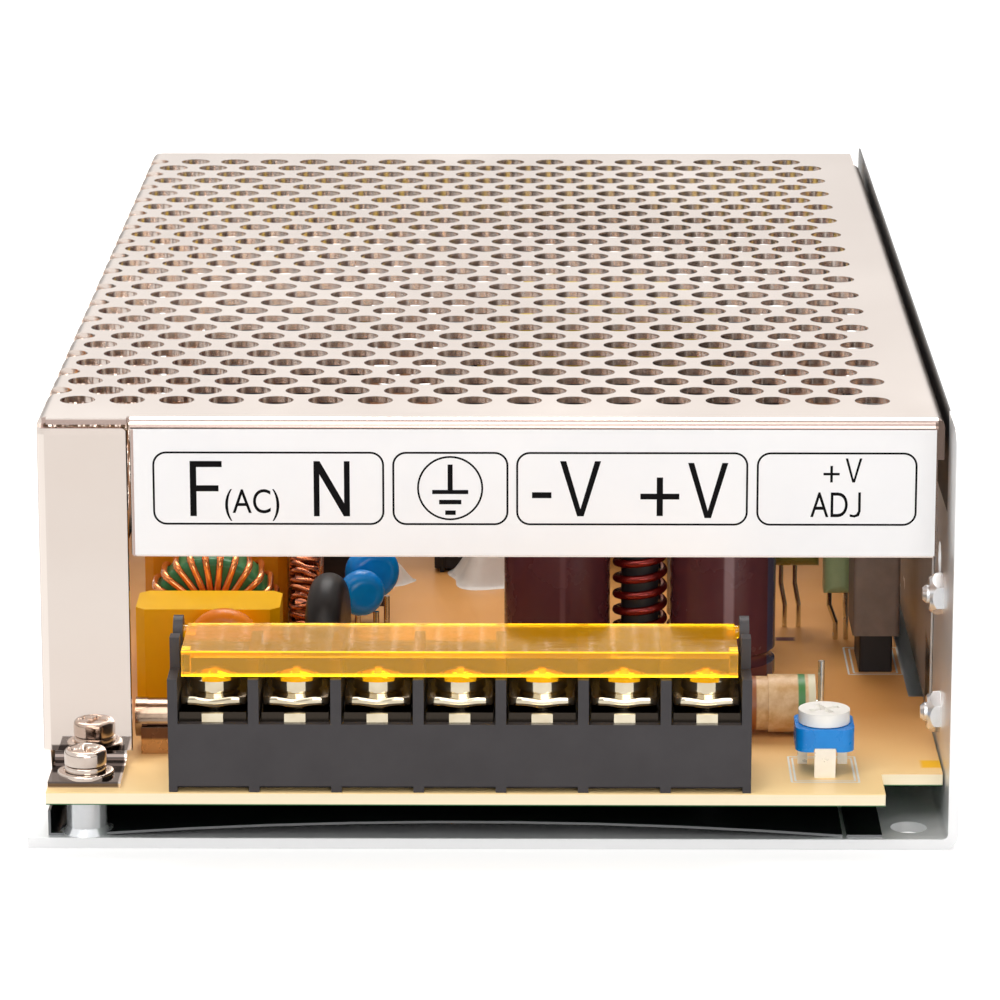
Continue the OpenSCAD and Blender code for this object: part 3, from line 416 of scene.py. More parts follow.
class SupplySizes(bpy.types.PropertyGroup):
    """Sizes of what the frame leaves open."""

    choke_turns: IntProperty(name="Choke turns", description="Turns in each half of the choke", default=11, min=6,
                             max=12)
    rod_turns: IntProperty(name="Rod coil turns", description="Turns of the coil on the ferrite rod", default=11, min=6,
                           max=11)
    print_height: FloatProperty(name="Label print", description="Height of the large letters on the label",
                                default=0.0068, min=0.004, max=0.009, unit="LENGTH", subtype="DISTANCE")
    print_line: FloatProperty(name="Silk screen line", description="Width of the white lines printed on the board",
                              default=0.00025, min=0.0001, max=0.0006, unit="LENGTH", subtype="DISTANCE")


# --- stage


class SUPPLY_OT_stage(bpy.types.Operator):
    """Builds the pale floor, the soft lamps, the white surround and the camera"""

    bl_idname = "supply.stage"
    bl_label = "Stage"

    def execute(self, context):
        scene = context.scene
        scene.view_settings.view_transform = "Standard"
        self.floor(scene)
        self.surround(scene)
        for name, place_at, aim, size, share, tint in (
            ("key_lamp", (-0.35, -0.75, 1.05), (0, -0.05, 0.02), 0.9, 0.45, (1.0, 0.975, 0.95)),
            ("front_lamp", (0.25, -1.25, 0.30), (0, -0.08, 0.02), 0.7, 0.30, (1.0, 0.985, 0.97)),
            ("back_lamp", (0.05, 0.55, 1.15), (0, 0, 0.03), 0.8, 1.7, (1.0, 0.985, 0.96)),
        ):
            self.lamp(scene, name, place_at, aim, size, share, tint)
        camera = bpy.data.objects.new("camera", bpy.data.cameras.new("camera"))
        camera.location = (0.00699, -0.67642, 0.19092)
        camera.rotation_euler = (math.pi / 2 - 0.2478, 0.0009, 0.0102)
        camera.data.lens = 177.1
        camera.data.sensor_width = 36
        camera.data.clip_start = 0.01
        scene.collection.objects.link(camera)
        scene.camera = camera
        return {"FINISHED"}

    @staticmethod
    def floor(scene):
        """Disc of 6 m across under the unit, white to the camera, with the unit's soft shadow left on it."""
        points, polygons = lathe([(0.001, 0), (300, 0), (1000, 0), (3000, 0)], (0, 0, -0.05), sides=64)
        mesh = build_mesh("floor", points, polygons)
        floor = bpy.data.objects.new("floor", mesh)
        scene.collection.objects.link(floor)
        material = bpy.data.materials.new("pale_floor")
        material.use_nodes = True
        tree = material.node_tree
        shader = tree.nodes["Principled BSDF"]
        cloud = effect(tree, "mottle", Scale=9.0, Contrast=1.2)
        tree.links.new(mix(tree, cloud, srgb(184, 183, 182), srgb(192, 191, 190)), shader.inputs["Base Color"])
        shader.inputs["Roughness"].default_value = 0.85
        shader.inputs["Specular IOR Level"].default_value = 0.1
        rays = tree.nodes.new("ShaderNodeLightPath")
        seen = math_node(tree, "MAXIMUM", rays.outputs["Is Camera Ray"], rays.outputs["Is Transmission Ray"])
        glow = mix(tree, seen.outputs[0], (0, 0, 0), (0.6, 0.6, 0.6))
        tree.links.new(glow, shader.inputs["Emission Color"])
        shader.inputs["Emission Strength"].default_value = 1.0
        mesh.materials.append(material)

    @staticmethod
    def surround(scene):
        """White to the camera, to metal and through glass, and a softer grey as light."""
        world = bpy.data.worlds.new("surround")
        world.use_nodes = True
        scene.world = world
        tree = world.node_tree
        background = tree.nodes["Background"]
        rays = tree.nodes.new("ShaderNodeLightPath")
        way = tree.nodes.new("ShaderNodeTexCoord").outputs["Generated"]
        height = add_node(tree, "ShaderNodeSeparateXYZ", Vector=way).outputs["Z"]
        ramp = tree.nodes.new("ShaderNodeValToRGB")
        rise = math_node(tree, "MULTIPLY_ADD", height, 0.5, 0.5)
        tree.links.new(rise.outputs[0], ramp.inputs["Fac"])
        stops = ramp.color_ramp.elements
        stops[0].position, stops[0].color = 0.0, (0.90, 0.90, 0.90, 1)
        stops[1].position, stops[1].color = 1.0, (0.90, 0.90, 0.90, 1)
        for position, level in ((0.50, 0.22), (0.55, 0.30), (0.585, 1.0), (0.72, 1.0)):
            stop = stops.new(position)
            stop.color = (level, level * 0.98, level * 0.96, 1)
        seen = math_node(tree, "MAXIMUM", rays.outputs["Is Camera Ray"], rays.outputs["Is Transmission Ray"])
        glossy = mix(tree, rays.outputs["Is Glossy Ray"], (0.5, 0.5, 0.51), ramp.outputs["Color"])
        tree.links.new(mix(tree, seen.outputs[0], glossy, (1, 1, 1)), background.inputs["Color"])

    @staticmethod
    def lamp(scene, name, place_at, aim, size, share, tint):
        """Square lamp that gives the aimed point that share of the light at which a colour looks as written."""
        data = bpy.data.lights.new(name, "AREA")
        data.shape = "SQUARE"
        data.size = size
        gap = np.array(aim) - np.array(place_at)
        data.energy = math.pi**2 * share * gap.dot(gap)
        data.color = tint
        lamp = bpy.data.objects.new(name, data)
        lamp.location = place_at
        across = math.hypot(gap[0], gap[1])
        lamp.rotation_euler = (math.atan2(across, -gap[2]), 0, math.atan2(-gap[0], gap[1]))
        scene.collection.objects.link(lamp)


# --- case


class SUPPLY_OT_case(bpy.types.Operator):
    """Finishes the chassis and the perforated cover"""

    bl_idname = "supply.case"
    bl_label = "Case"

    def execute(self, context):
        colors = context.scene.supply_colors
        low, high = low_high("chassis")
        rim = [low[0] - 1, low[1] - 1, -1], [high[0] + 1, low[1] + 0.3, high[2] + 1]
        make_finish(
            "zinc_sheet", colors.chassis, (244, 245, 246), (38.0, 2.4), (0.28, 0.42),
            bump=(900.0, 0.12, 0.02, (1, 0.05, 1)), Metallic=0.6, dull=(*rim, 0.06),
            # Painted light and shade: a dark line of painted shade along the inside of the tall wall's top edge, and a
            # painted highlight that lightens the base's front rim
            patches=[((high[0] - 1.4, -86, 40), (high[0] - 1.05, 200, high[2] + 0.3), 0.1, (58, 56, 56)),
                     (*rim, 0.06, (246, 247, 248))],
            on=("galvanised_sheet", "chassis"),
        )
        low, high = low_high("cover")
        post = low[0] + POST_WIDTH
        front = low[1] - 1, low[1] + 11
        make_finish(
            "nickel_sheet", colors.cover, (234, 224, 217), (26.0, 2.0, (1, 0.6, 1)), (0.17, 0.27),
            bump=(1400.0, 0.04, 0.015, (1, 0.04, 1)), Metallic=1.0,
            polish=((low[0] - 1, front[0], 0), (post + 1, front[1], high[2] - 2), 1.0, 0.05),
            # Painted light and shade on the cover's front edges, in order: a painted highlight and a dark line of
            # painted shade at the post's left edge, a dark band of painted reflection at the post's foot, lines of
            # painted shade at the post's right edge and under its top, a darker strip of painted shade on the lip's
            # left edge, painted shade along the top front edge and in a line under it, and painted shade on the right
            # front edge and down the right side
            patches=[((x0, front[0], z0), (x1, front[1], z1), soft, color) for x0, x1, z0, z1, soft, color in (
                (low[0] + 0.15, low[0] + 1.05, 9.5, high[2] - 2, 0.05, (248, 238, 231)),
                (low[0] - 1, low[0] + 0.1, 9.5, high[2] - 2, 0.05, (120, 98, 92)),
                (low[0] + 1.0, post - 0.9, BOARD_TOP, BOARD_TOP + 2.7, 0.2, (104, 94, 90)),
                (post - 0.12, post + 0.5, 9.5, high[2] - 1.5, 0.03, (44, 36, 34)),
                (low[0] + 0.6, post - 0.3, high[2] - 1.25, high[2] - 1.0, 0.08, (146, 126, 120)),
                (post + 0.52, post + 1.0, 30, high[2] - 1.4, 0.03, (196, 174, 166)),
                (low[0] + 0.6, high[0], high[2] - 1.35, high[2] - 0.12, 0.1, (188, 168, 160)),
                (post + 0.5, high[0], high[2] - 1.32, high[2] - 1.12, 0.04, (84, 72, 68)),
                (high[0] - 1.25, high[0] + 1, 30, high[2] - 0.4, 0.04, (112, 96, 88)),
            )] + [((high[0] - 0.12, front[1], 2), (high[0] + 1, 200, high[2] - 0.3), 0.04, (48, 42, 40))],
            on=("nickel_sheet", "cover"),
        )
        return {"FINISHED"}


class SUPPLY_OT_fasteners(bpy.types.Operator):
    """Finishes the screws, nuts, washers and standoffs"""

    bl_idname = "supply.fasteners"
    bl_label = "Fasteners"

    def execute(self, context):
        plated = make_finish(
            "nickel_plate", (196, 178, 166), (232, 220, 210), (160.0, 2.0), (0.08, 0.18), bump=(2200.0, 0.08, 0.02),
            Metallic=1.0,
        )
        make_finish(
            "bright_zinc", (232, 237, 242), (250, 250, 252), (200.0, 2.0), (0.12, 0.24), bump=(1800.0, 0.1, 0.02),
            Metallic=0.7, on=("zinc_steel", "wall_screws", "wall_nuts", "standoffs"),
        )
        dress(plated, "nickel_steel", "case_screws")
        self.pan_heads(plated)
        self.washers(plated)
        return {"FINISHED"}

    @staticmethod
    def pan_heads(plated):
        """Board screws as surfaces of revolution whose top sinks into a cross: the depth grows towards the two
        lines through the middle and ends at the rim of the recess. Their places come from the tops of the solids."""
        low, high = low_high("board_screws")
        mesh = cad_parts["board_screws"].data
        spots = np.empty(len(mesh.vertices) * 3, np.float32)
        mesh.vertices.foreach_get("co", spots)
        spots = spots.reshape(-1, 3) / MM
        tops = spots[spots[:, 2] > high[2] - 0.4, :2]
        centres = []
        while len(tops):
            near = np.hypot(*(tops - tops[0]).T) < 7
            centres.append((tops[near].min(0) + tops[near].max(0)) / 2)
            tops = tops[~near]
        reach, tall, sides = 2.62, high[2] - low[2], 96
        rim = arc((reach - 0.55, tall - 0.75), 0.55, 90, 0, 6)
        flat = [(r, tall - 0.2 - 0.0009 * r**6) for r in np.linspace(0.01, reach - 0.6, 22)]
        profile = [*flat, *rim, (reach, tall - 2.05), (reach - 0.2, tall - 2.15), (1.45, tall - 2.15), (1.45, 0),
                   (0.01, 0)]
        parts = []
        for x, y in centres:
            points, polygons = lathe(profile[::-1], (x, y, low[2]), sides=sides)
            away = points[:, :2] - (x, y)
            nearest = np.minimum(abs(away[:, 0] + 0.35 * away[:, 1]), abs(away[:, 1] - 0.35 * away[:, 0])) / 1.06
            inside = np.clip((0.42 - nearest) / 0.18, 0, 1) * np.clip((1.75 - np.hypot(*away.T)) / 0.2, 0, 1)
            points[:, 2] -= 0.85 * inside * (points[:, 2] > high[2] - 0.6)
            parts.append((points, polygons))
        place("board_screw_heads", parts, plated, replaces=["board_screws"], sharp=38)

    @staticmethod
    def washers(plated):
        """Flat washer with a rolled rim and a spring washer under the front screw: two turned rings."""
        low, high = low_high("tab_washers")
        x, y = middle("tab_washers")[:2]
        reach, bore = (high[0] - low[0]) / 2, 1.6
        rings = []
        for foot, top, wide in ((low[2], low[2] + 0.55, reach), (low[2] + 0.6, high[2] - 0.02, 2.6)):
            rim = arc((wide - 0.2, top - 0.2), 0.2, 0, 90, 4)
            step = [(wide - 0.7, top), (wide - 0.75, top - 0.12), (wide - 0.9, top - 0.12)]
            rings.append(lathe([(bore, foot), (wide, foot), *rim, *step, (bore, top - 0.12), (bore, foot)],
                               (x, y, 0), sides=96))
        place("washer_rings", rings, plated, replaces=["tab_washers"], sharp=38)


# --- label


def letter_mesh(text, low, high, origin, right, up, depth=0.012):
    """Letters in the plain built-in face, scaled to fill a box of the plane of right and up (millimetres)."""
    curve = bpy.data.curves.new("letters", "FONT")
    curve.body = text
    curve.resolution_u = 6
    holder = bpy.data.objects.new("letters", curve)
    bpy.context.scene.collection.objects.link(holder)
    bpy.context.view_layer.update()
    flat = holder.to_mesh()
    points = np.empty(len(flat.vertices) * 3, np.float32)
    flat.vertices.foreach_get("co", points)
    points = points.reshape(-1, 3)
    flat.calc_loop_triangles()
    triangles = np.empty(len(flat.loop_triangles) * 3, np.int32)
    flat.loop_triangles.foreach_get("vertices", triangles)
    holder.to_mesh_clear()
    bpy.data.objects.remove(holder)
    bpy.data.curves.remove(curve)
    reach = points[:, :2].max(0) - points[:, :2].min(0)
    spot = (points[:, :2] - points[:, :2].min(0)) / reach * (np.array(high) - low) + low
    normal = np.cross(right, up)
    placed = np.array(origin) + spot[:, :1] * np.array(right) + spot[:, 1:] * np.array(up) + normal * depth
    return placed, [triangles.reshape(-1, 3)]


class SUPPLY_OT_label(bpy.types.Operator):
    """Finishes the terminal label and prints its frames and function marks"""

    bl_idname = "supply.label"
    bl_label = "Label"

    def execute(self, context):
        sizes = context.scene.supply_sizes
        make_finish(
            "label_film", (229, 229, 231), (237, 236, 236), (60.0, 1.6), (0.28, 0.38), bump=(700.0, 0.05, 0.02),
            on=("label_film", "label"),
        )
        ink = make_finish("label_ink", (10, 9, 10), (18, 17, 18), (900.0, 2.0), (0.5, 0.6), Specular_IOR_Level=0.05)
        origin = low_high("label")[0]
        raise_by = 0.012
        print_at = origin - Y * raise_by
        parts = []
        for left, right in ((2.3, 30.85), (31.85, 46.15), (47.1, 75.65), (76.7, 96.45)):
            outer = round_rect((left, 3.85), (right, 13.15), 1.7)
            inner = round_rect((left + 0.25, 4.1), (right - 0.25, 12.9), 1.45)
            parts.append(outline_strip(outer, inner, print_at, X, Z))
        tall = sizes.print_height / MM
        strokes = {
            "F": [(0, 0), (0.2, 0), (0.2, 0.45), (0.89, 0.45), (0.89, 0.56), (0.2, 0.56), (0.2, 0.89), (1, 0.89),
                  (1, 1), (0, 1)],
            "N": [(0, 0), (0.16, 0), (0.16, 0.76), (0.83, 0), (1, 0), (1, 1), (0.84, 1), (0.84, 0.24), (0.17, 1),
                  (0, 1)],
            "V": [(0.42, 0), (0.58, 0), (1, 1), (0.85, 1), (0.5, 0.13), (0.15, 1), (0, 1)],
            "J": [(0, 0.03), (0.45, 0), (0.85, 0.06), (1, 0.25), (1, 1), (0.76, 1), (0.76, 0.25), (0.6, 0.13),
                  (0.4, 0.1), (0, 0.13)],
            "-": [(0, 0), (1, 0), (1, 1), (0, 1)],
            "+": [(0.42, 0), (0.58, 0), (0.58, 0.43), (1, 0.43), (1, 0.58), (0.58, 0.58), (0.58, 1), (0.42, 1),
                  (0.42, 0.58), (0, 0.58), (0, 0.43), (0.42, 0.43)],
            "T": [(0, 0), (1, 0), (1, 0.14), (0.57, 0.14), (0.57, 1), (0.43, 1), (0.43, 0.14), (0, 0.14)],
        }
        for sign, left, right, foot, height in (
            ("F", 6.9, 10.85, 4.95, tall + 0.2), ("N", 22.15, 26.6, 4.95, tall + 0.2), ("-", 49.05, 51.45, 7.3, 0.75),
            ("V", 52.5, 57.55, 5.0, tall + 0.2), ("+", 62.4, 67.2, 5.05, 4.9), ("V", 68.25, 73.2, 4.8, tall + 0.2),
            ("+", 84.9, 86.9, 9.35, 2.1), ("V", 87.6, 89.65, 9.35, 3.05), ("J", 88.2, 89.55, 4.9, 3.2),
            ("T", 36.75, 41.2, 7.8, 3.75), ("-", 37.6, 40.35, 6.5, 0.57), ("-", 38.35, 39.65, 5.15, 0.57),
        ):
            shape = np.array(strokes[sign]) * [right - left, height] + [left, foot]
            parts.append((print_at + shape[:, :1] * X + shape[:, 1:] * Z, [np.arange(len(shape))[None]]))
        for text, left, right, foot, height in (("(AC)", 11.2, 17.9, 4.35, 4.05), ("AD", 83.35, 87.95, 4.95, 3.15)):
            parts.append(letter_mesh(text, (left, foot), (right, foot + height), origin, X, Z, raise_by))
        ring = arc((38.97, 8.55), 4.08, 0, 360, 48)[:-1]
        inner_ring = arc((38.97, 8.55), 3.84, 0, 360, 48)[:-1]
        parts.append(outline_strip(ring, inner_ring, print_at, X, Z))
        place("label_print", parts, ink, smooth=False)
        return {"FINISHED"}


# --- board


class SUPPLY_OT_board(bpy.types.Operator):
    """Finishes the circuit board and prints its white outlines"""

    bl_idname = "supply.board"
    bl_label = "Circuit board"

    def execute(self, context):
        colors, sizes = context.scene.supply_colors, context.scene.supply_sizes
        far = 200.0
        make_finish(
            "board_laminate", colors.board, (255, 229, 170), (70.0, 1.6), (0.34, 0.48), bump=(1500.0, 0.08, 0.02),
            Specular_IOR_Level=0.4,
            patches=(
                    # The first two patches are painted shade: the board darkens from its lit front edge towards the
                    # back, under the cover
                    ((-far, -104, -far), (far, far, far), 40.0, (236, 168, 92)),
                    ((-far, -10, -far), (far, far, far), 40.0, (176, 120, 68)),
                    ((37.6, -31.2, 7), (40.6, -29.0, 9), 0.4, (96, 22, 14)),
                    ((53.2, -89.2, 7), (57, -85.6, 9), 0.5, (250, 190, 20)),
                    ((-far, -far, 6.2), (far, far, BOARD_TOP - 0.12), 0.03, (248, 234, 202)),
                    ((-far, -far, 6.2), (far, far, 6.45), 0.04, (40, 100, 52)),
            ),
            on=("board_laminate", "board"),
        )
        white = make_finish("board_print", (232, 230, 222), (244, 242, 236), (600.0, 2.0), (0.4, 0.6))
        line = sizes.print_line / MM
        level = np.array([0, 0, BOARD_TOP + 0.015])
        trimmer, rectifier = middle("trimmer_body"), middle("output_rectifier")
        parts = []
        for reach in (5.5, 4.9):
            spot = trimmer[:2] + [0, -0.1]
            outer = round_rect(spot - [reach * 0.78, reach], spot + [reach * 0.78, reach], 0.2, 2)
            inner = round_rect(spot - [reach * 0.78 - line, reach - line], spot + [reach * 0.78 - line, reach - line],
                               0.1, 2)
            parts.append(outline_strip(outer, inner, level, X, Y))
        for centre, half in ((rectifier, (3.7, 6.7)), (rectifier, (3.0, 6.0)), (middle("varistor"), (6.2, 2.6))):
            half = np.array(half)
            outer = round_rect(centre[:2] - half, centre[:2] + half, 0.3, 3)
            inner = round_rect(centre[:2] - half + line, centre[:2] + half - line, 0.1, 3)
            parts.append(outline_strip(outer, inner, level, X, Y))
        place("board_print", parts, white, smooth=False)
        return {"FINISHED"}


class SUPPLY_OT_films(bpy.types.Operator):
    """Finishes the black film under the board and the grey film on the wall"""

    bl_idname = "supply.films"
    bl_label = "Insulating films"

    def execute(self, context):
        make_finish(
            "black_film", (15, 15, 17), (26, 26, 29), (90.0, 2.0), (0.12, 0.24), bump=(420.0, 0.08, 0.05),
            # Painted highlight: a pale grey line along the black film's front edge
            patches=[((-200, -97.5, 0), (200, -96.5, 9), 0.1, (110, 112, 114))], on=("black_film", "base_film"),
        )
        make_finish(
            "grey_film", (166, 158, 152), (188, 180, 174), (30.0, 1.6), (0.2, 0.3), bump=(160.0, 0.04, 0.05),
            # Painted light and shade: a pale line as a painted highlight on the wall film's front edge, and painted
            # shade darkening its lower front corner
            patches=[((50, -69, 0), (60, -68.2, 60), 0.1, (226, 228, 230)),
                     ((50, -69, 0), (60, -60, 18), 2.0, (36, 35, 36))],
            on=("grey_film", "wall_film"),
        )
        return {"FINISHED"}


# --- terminals


class SUPPLY_OT_terminals(bpy.types.Operator):
    """Finishes the terminal block, its contacts, screws and wire clamps"""

    bl_idname = "supply.terminals"
    bl_label = "Terminals"

    def execute(self, context):
        colors = context.scene.supply_colors
        make_finish(
            "block_plastic", colors.block, (62, 59, 61), (130.0, 1.8), (0.4, 0.52), bump=(2600.0, 0.14, 0.02),
            Specular_IOR_Level=0.35, on=("block_plastic", "terminal_block"),
        )
        plated = make_finish(
            "terminal_plate", (206, 192, 164), (240, 230, 206), (240.0, 2.2), (0.07, 0.16), bump=(1900.0, 0.1, 0.02),
            Metallic=1.0,
        )
        low, high = low_high("terminal_contacts")
        make_finish(
            "contact_plate", (222, 208, 180), (246, 238, 214), (240.0, 2.2), (0.12, 0.24), bump=(1900.0, 0.1, 0.02),
            # Painted shade: the contacts are darkened behind their front edge, which keeps the lighter plate colour as
            # a bright rim
            Metallic=1.0, patches=[((-60, low[1] + 0.5, 0), (60, high[1] + 1, 30), 0.05, (62, 56, 50))],
            on=("nickel_steel", "terminal_contacts"),
        )
        dress(plated, "nickel_steel", *[f"terminal_screw_{i}" for i in range(1, POLES + 1)])
        for i in range(1, POLES + 1):
            self.clamp(i, plated)
        return {"FINISHED"}

    @staticmethod
    def clamp(number, plated):
        """Wire clamp: a plate between a round bore and a square of the eighth power, whose height swells and
        sinks as a cosine of the distance from the middle line, with a spring washer on it."""
        node = f"wire_clamp_{number}"
        low, high = low_high(node)
        half, bore, thick = (high[0] - low[0]) / 2, 1.85, 1.0
        angle = np.linspace(0, 2 * np.pi, 96, endpoint=False)
        square = half * (np.cos(angle) ** 8 + np.sin(angle) ** 8) ** (-1 / 8)
        rings = []
        for share, lift in ((0, 0), (0.4, 0), (0.75, 0), (0.97, 0), (1, 0.12), (1, thick - 0.12), (0.97, thick),
                            (0.75, thick), (0.4, thick), (0, thick), (0, 0)):
            radius = bore + (square - bore) * share
            x, y = radius * np.cos(angle), radius * np.sin(angle)
            swell = 0.3 * (0.5 - 0.5 * np.cos(2 * np.pi * np.abs(x) / 5.2)) * min(1, share / 0.75)
            rings.append(np.stack([x, y, swell + lift], -1))
        centre = np.array([*middle(node)[:2], low[2]])
        plate = np.concatenate(rings) + centre, [grid_quads(len(rings), 96, close_cols=True)]
        ring = lathe([(bore, thick), (2.8, thick), (2.8, thick + 0.34), (2.68, thick + 0.38), (2.8, thick + 0.42),
                      (2.8, high[2] - low[2]), (bore, high[2] - low[2]), (bore, thick)], centre, sides=64)
        place(f"clamp_plate_{number}", (plate, ring), plated, f"terminal_{number}", [node], sharp=40)


class SUPPLY_OT_terminal_cover(bpy.types.Operator):
    """Finishes the hinged amber cover over the terminals"""

    bl_idname = "supply.terminal_cover"
    bl_label = "Terminal cover"

    def execute(self, context):
        colors = context.scene.supply_colors
        low, high = low_high("terminal_cover")
        glint_yellow = (255, 206, 20)
        make_finish(
            "amber_plastic", colors.lid, (255, 204, 44), (80.0, 1.6), (0.03, 0.08),
            bump=(170.0, 0.1, 0.12, (1, 3, 1)), Transmission_Weight=0.96, IOR=1.5,
            # Painted glow: the amber lid emits a dim light of its own, with brighter emitted lines as painted
            # highlights along its lower front edge and its top front edge
            glow=((100, 74, 0), (low - 1, (high[0] + 1, low[1] + 1.2, low[2] + 0.3), 0.08, glint_yellow),
                  ((low[0] - 1, low[1] - 1, high[2] - 0.2), (high[0] + 1, low[1] + 0.2, high[2] + 1), 0.08, glint_yellow)),
            on=("amber_plastic", "terminal_cover"),
        )
        return {"FINISHED"}


class SUPPLY_OT_trimmer(bpy.types.Operator):
    """Finishes the voltage trimmer"""

    bl_idname = "supply.trimmer"
    bl_label = "Trimmer"

    def execute(self, context):
        make_finish(
            "blue_plastic", (0, 116, 200), (4, 138, 222), (300.0, 1.6), (0.22, 0.34), bump=(2400.0, 0.08, 0.02),
            on=("blue_plastic", "trimmer_body"),
        )
        make_finish(
            "white_plastic", (236, 233, 226), (246, 244, 238), (300.0, 1.6), (0.34, 0.46), bump=(2400.0, 0.08, 0.02),
            on=("white_plastic", "trimmer_dial"),
        )
        return {"FINISHED"}


class SUPPLY_OT_fuse(bpy.types.Operator):
    """Finishes the fuse and its clips"""

    bl_idname = "supply.fuse"
    bl_label = "Fuse"

    def execute(self, context):
        make_finish(
            "fuse_plate", (144, 122, 104), (170, 148, 130), (260.0, 2.0), (0.1, 0.2),
            bump=(2200.0, 0.06, 0.02, (0.1, 1, 1)), Metallic=1.0, on=("nickel_steel", "fuse_caps"),
        )
        make_finish(
            "fuse_glass", (238, 244, 242), (248, 250, 250), (200.0, 1.2), (0.02, 0.05), Transmission_Weight=1.0,
            IOR=1.5, on=("fuse_glass", "fuse_tube"),
        )
        low, high = low_high("fuse_clips")
        make_finish(
            "clip_plate", (176, 124, 70), (192, 140, 84), (260.0, 2.0), (0.2, 0.34), bump=(1800.0, 0.1, 0.02),
            Metallic=0.5,
            patches=[((low[0] - 1, low[1] - 1, high[2] - 1.6), (*high + 1,), 0.3, (96, 56, 28))],
            on=("tinned_wire", "fuse_clips"),
        )
        return {"FINISHED"}


# --- filter parts


class SUPPLY_OT_boxes(bpy.types.Operator):
    """Finishes the moulded box capacitors and the chips"""

    bl_idname = "supply.boxes"
    bl_label = "Box parts"

    def execute(self, context):
        top = low_high("x_capacitor")[1][2]
        make_finish(
            "yellow_box", (255, 178, 0), (255, 190, 4), (140.0, 1.6), (0.3, 0.42),
            # Painted light: the top face is painted a lighter yellow than the sides, as lit from above
            patches=[((-60, -90, top - 0.05), (0, 0, 60), 0.02, (255, 196, 0))], bump=(2200.0, 0.1, 0.02),
            Specular_IOR_Level=0.2, on=("yellow_box", "x_capacitor"),
        )
        make_finish(
            "orange_box", (222, 136, 8), (230, 148, 14), (140.0, 1.6), (0.3, 0.42), bump=(2200.0, 0.1, 0.02),
            Specular_IOR_Level=0.25, on=("orange_box", "line_capacitor"),
        )
        make_finish(
            "black_epoxy", (26, 25, 27), (38, 36, 39), (220.0, 1.8), (0.4, 0.55), bump=(3000.0, 0.16, 0.02),
            Specular_IOR_Level=0.3,
            on=("black_epoxy", "bridge_rectifier", "power_transistors", "output_rectifier", "control_chip",
                "small_parts"),
        )
        return {"FINISHED"}


class SUPPLY_OT_coated(bpy.types.Operator):
    """Finishes the disc and dipped parts and their leads"""

    bl_idname = "supply.coated"
    bl_label = "Coated parts"

    def execute(self, context):
        for name, slot, node, dark, light, rough in (
            ("varistor_coat", "orange_coating", "varistor", (244, 128, 4), (250, 146, 18), (0.2, 0.32)),
            ("thermistor_coat", "black_coating", "thermistor", (24, 23, 24), (44, 42, 43), (0.34, 0.5)),
            ("disc_coat", "blue_coating", "y_capacitors", (0, 120, 206), (6, 146, 232), (0.12, 0.22)),
            ("olive_coat", "olive_coating", "polyester_capacitor", (120, 112, 48), (144, 136, 70), (0.24, 0.38)),
            ("green_coat", "pale_green_coating", "film_capacitor", (164, 190, 142), (184, 208, 164), (0.26, 0.4)),
        ):
            make_finish(
                name, dark, light, (260.0, 2.0), rough, bump=(620.0, 0.22, 0.05), Specular_IOR_Level=0.35,
                on=(slot, node),
            )
        left, right = low_high("bleeder_resistor")
        length = right[0] - left[0]
        make_finish(
            "resistor_coat", (202, 158, 104), (228, 194, 148), (640.0, 3.4), (0.36, 0.5), bump=(900.0, 0.22, 0.04),
            patches=[((left[0] + a * length, -100, 0), (left[0] + b * length, 0, 30), 0.2, c) for a, b, c in (
                (-0.1, 0.06, (214, 206, 176)), (0.12, 0.19, (62, 128, 64)), (0.34, 0.41, (34, 30, 28)),
                (0.52, 0.60, (150, 84, 36)), (0.875, 0.935, (62, 128, 64)), (0.945, 1.1, (222, 214, 184)))],
            on=("tan_ceramic", "bleeder_resistor"),
        )
        make_finish(
            "tinned_wire", (206, 200, 190), (236, 232, 224), (500.0, 2.0), (0.18, 0.3), bump=(1800.0, 0.1, 0.02),
            Metallic=1.0, on=("tinned_wire", "component_leads"),
        )
        make_finish(
            "trimmer_leg", (236, 230, 216), (250, 246, 236), (400.0, 2.0), (0.24, 0.36), Metallic=0.3,
            on=("tinned_wire", "trimmer_legs"),
        )
        return {"FINISHED"}


class SUPPLY_OT_glue(bpy.types.Operator):
    """Lays the white fixing glue at the foot of the parts"""

    bl_idname = "supply.glue"
    bl_label = "Fixing glue"

    def execute(self, context):
        white = make_finish(
            "white_glue", (226, 216, 206), (244, 238, 230), (180.0, 1.8), (0.24, 0.36), bump=(240.0, 0.16, 0.2),
            Specular_IOR_Level=0.4,
        )
        for name, x, y, wide, deep, tall in (
            ("glue_by_discs", -15.6, -0.4, 3.2, 3.0, 3.2),
            ("glue_by_cans", -1.4, 2.1, 6.2, 7.0, 7.0),
        ):
            self.mound(name, (x, y), wide, deep, tall, white)
        return {"FINISHED"}

    @staticmethod
    def mound(name, centre, wide, deep, tall, white):
        """Mound: the height falls from the middle as a cosine of the radius, and the radius itself sways with
        the angle."""
        radius, angle = np.meshgrid(np.linspace(1, 0.004, 28), np.linspace(0, 2 * np.pi, 64, endpoint=False),
                                    indexing="ij")
        sway = radius * (1 + 0.1 * np.sin(3 * angle + 1) + 0.06 * np.sin(5 * angle))
        height = tall * (0.5 + 0.5 * np.cos(np.pi * radius)) ** 0.8
        points = np.stack([centre[0] + wide * sway * np.cos(angle), centre[1] + deep * sway * np.sin(angle),
                           BOARD_TOP + 0.01 + height], -1).reshape(-1, 3)
        place(name, [(points, [grid_quads(28, 64, close_cols=True)])], white)


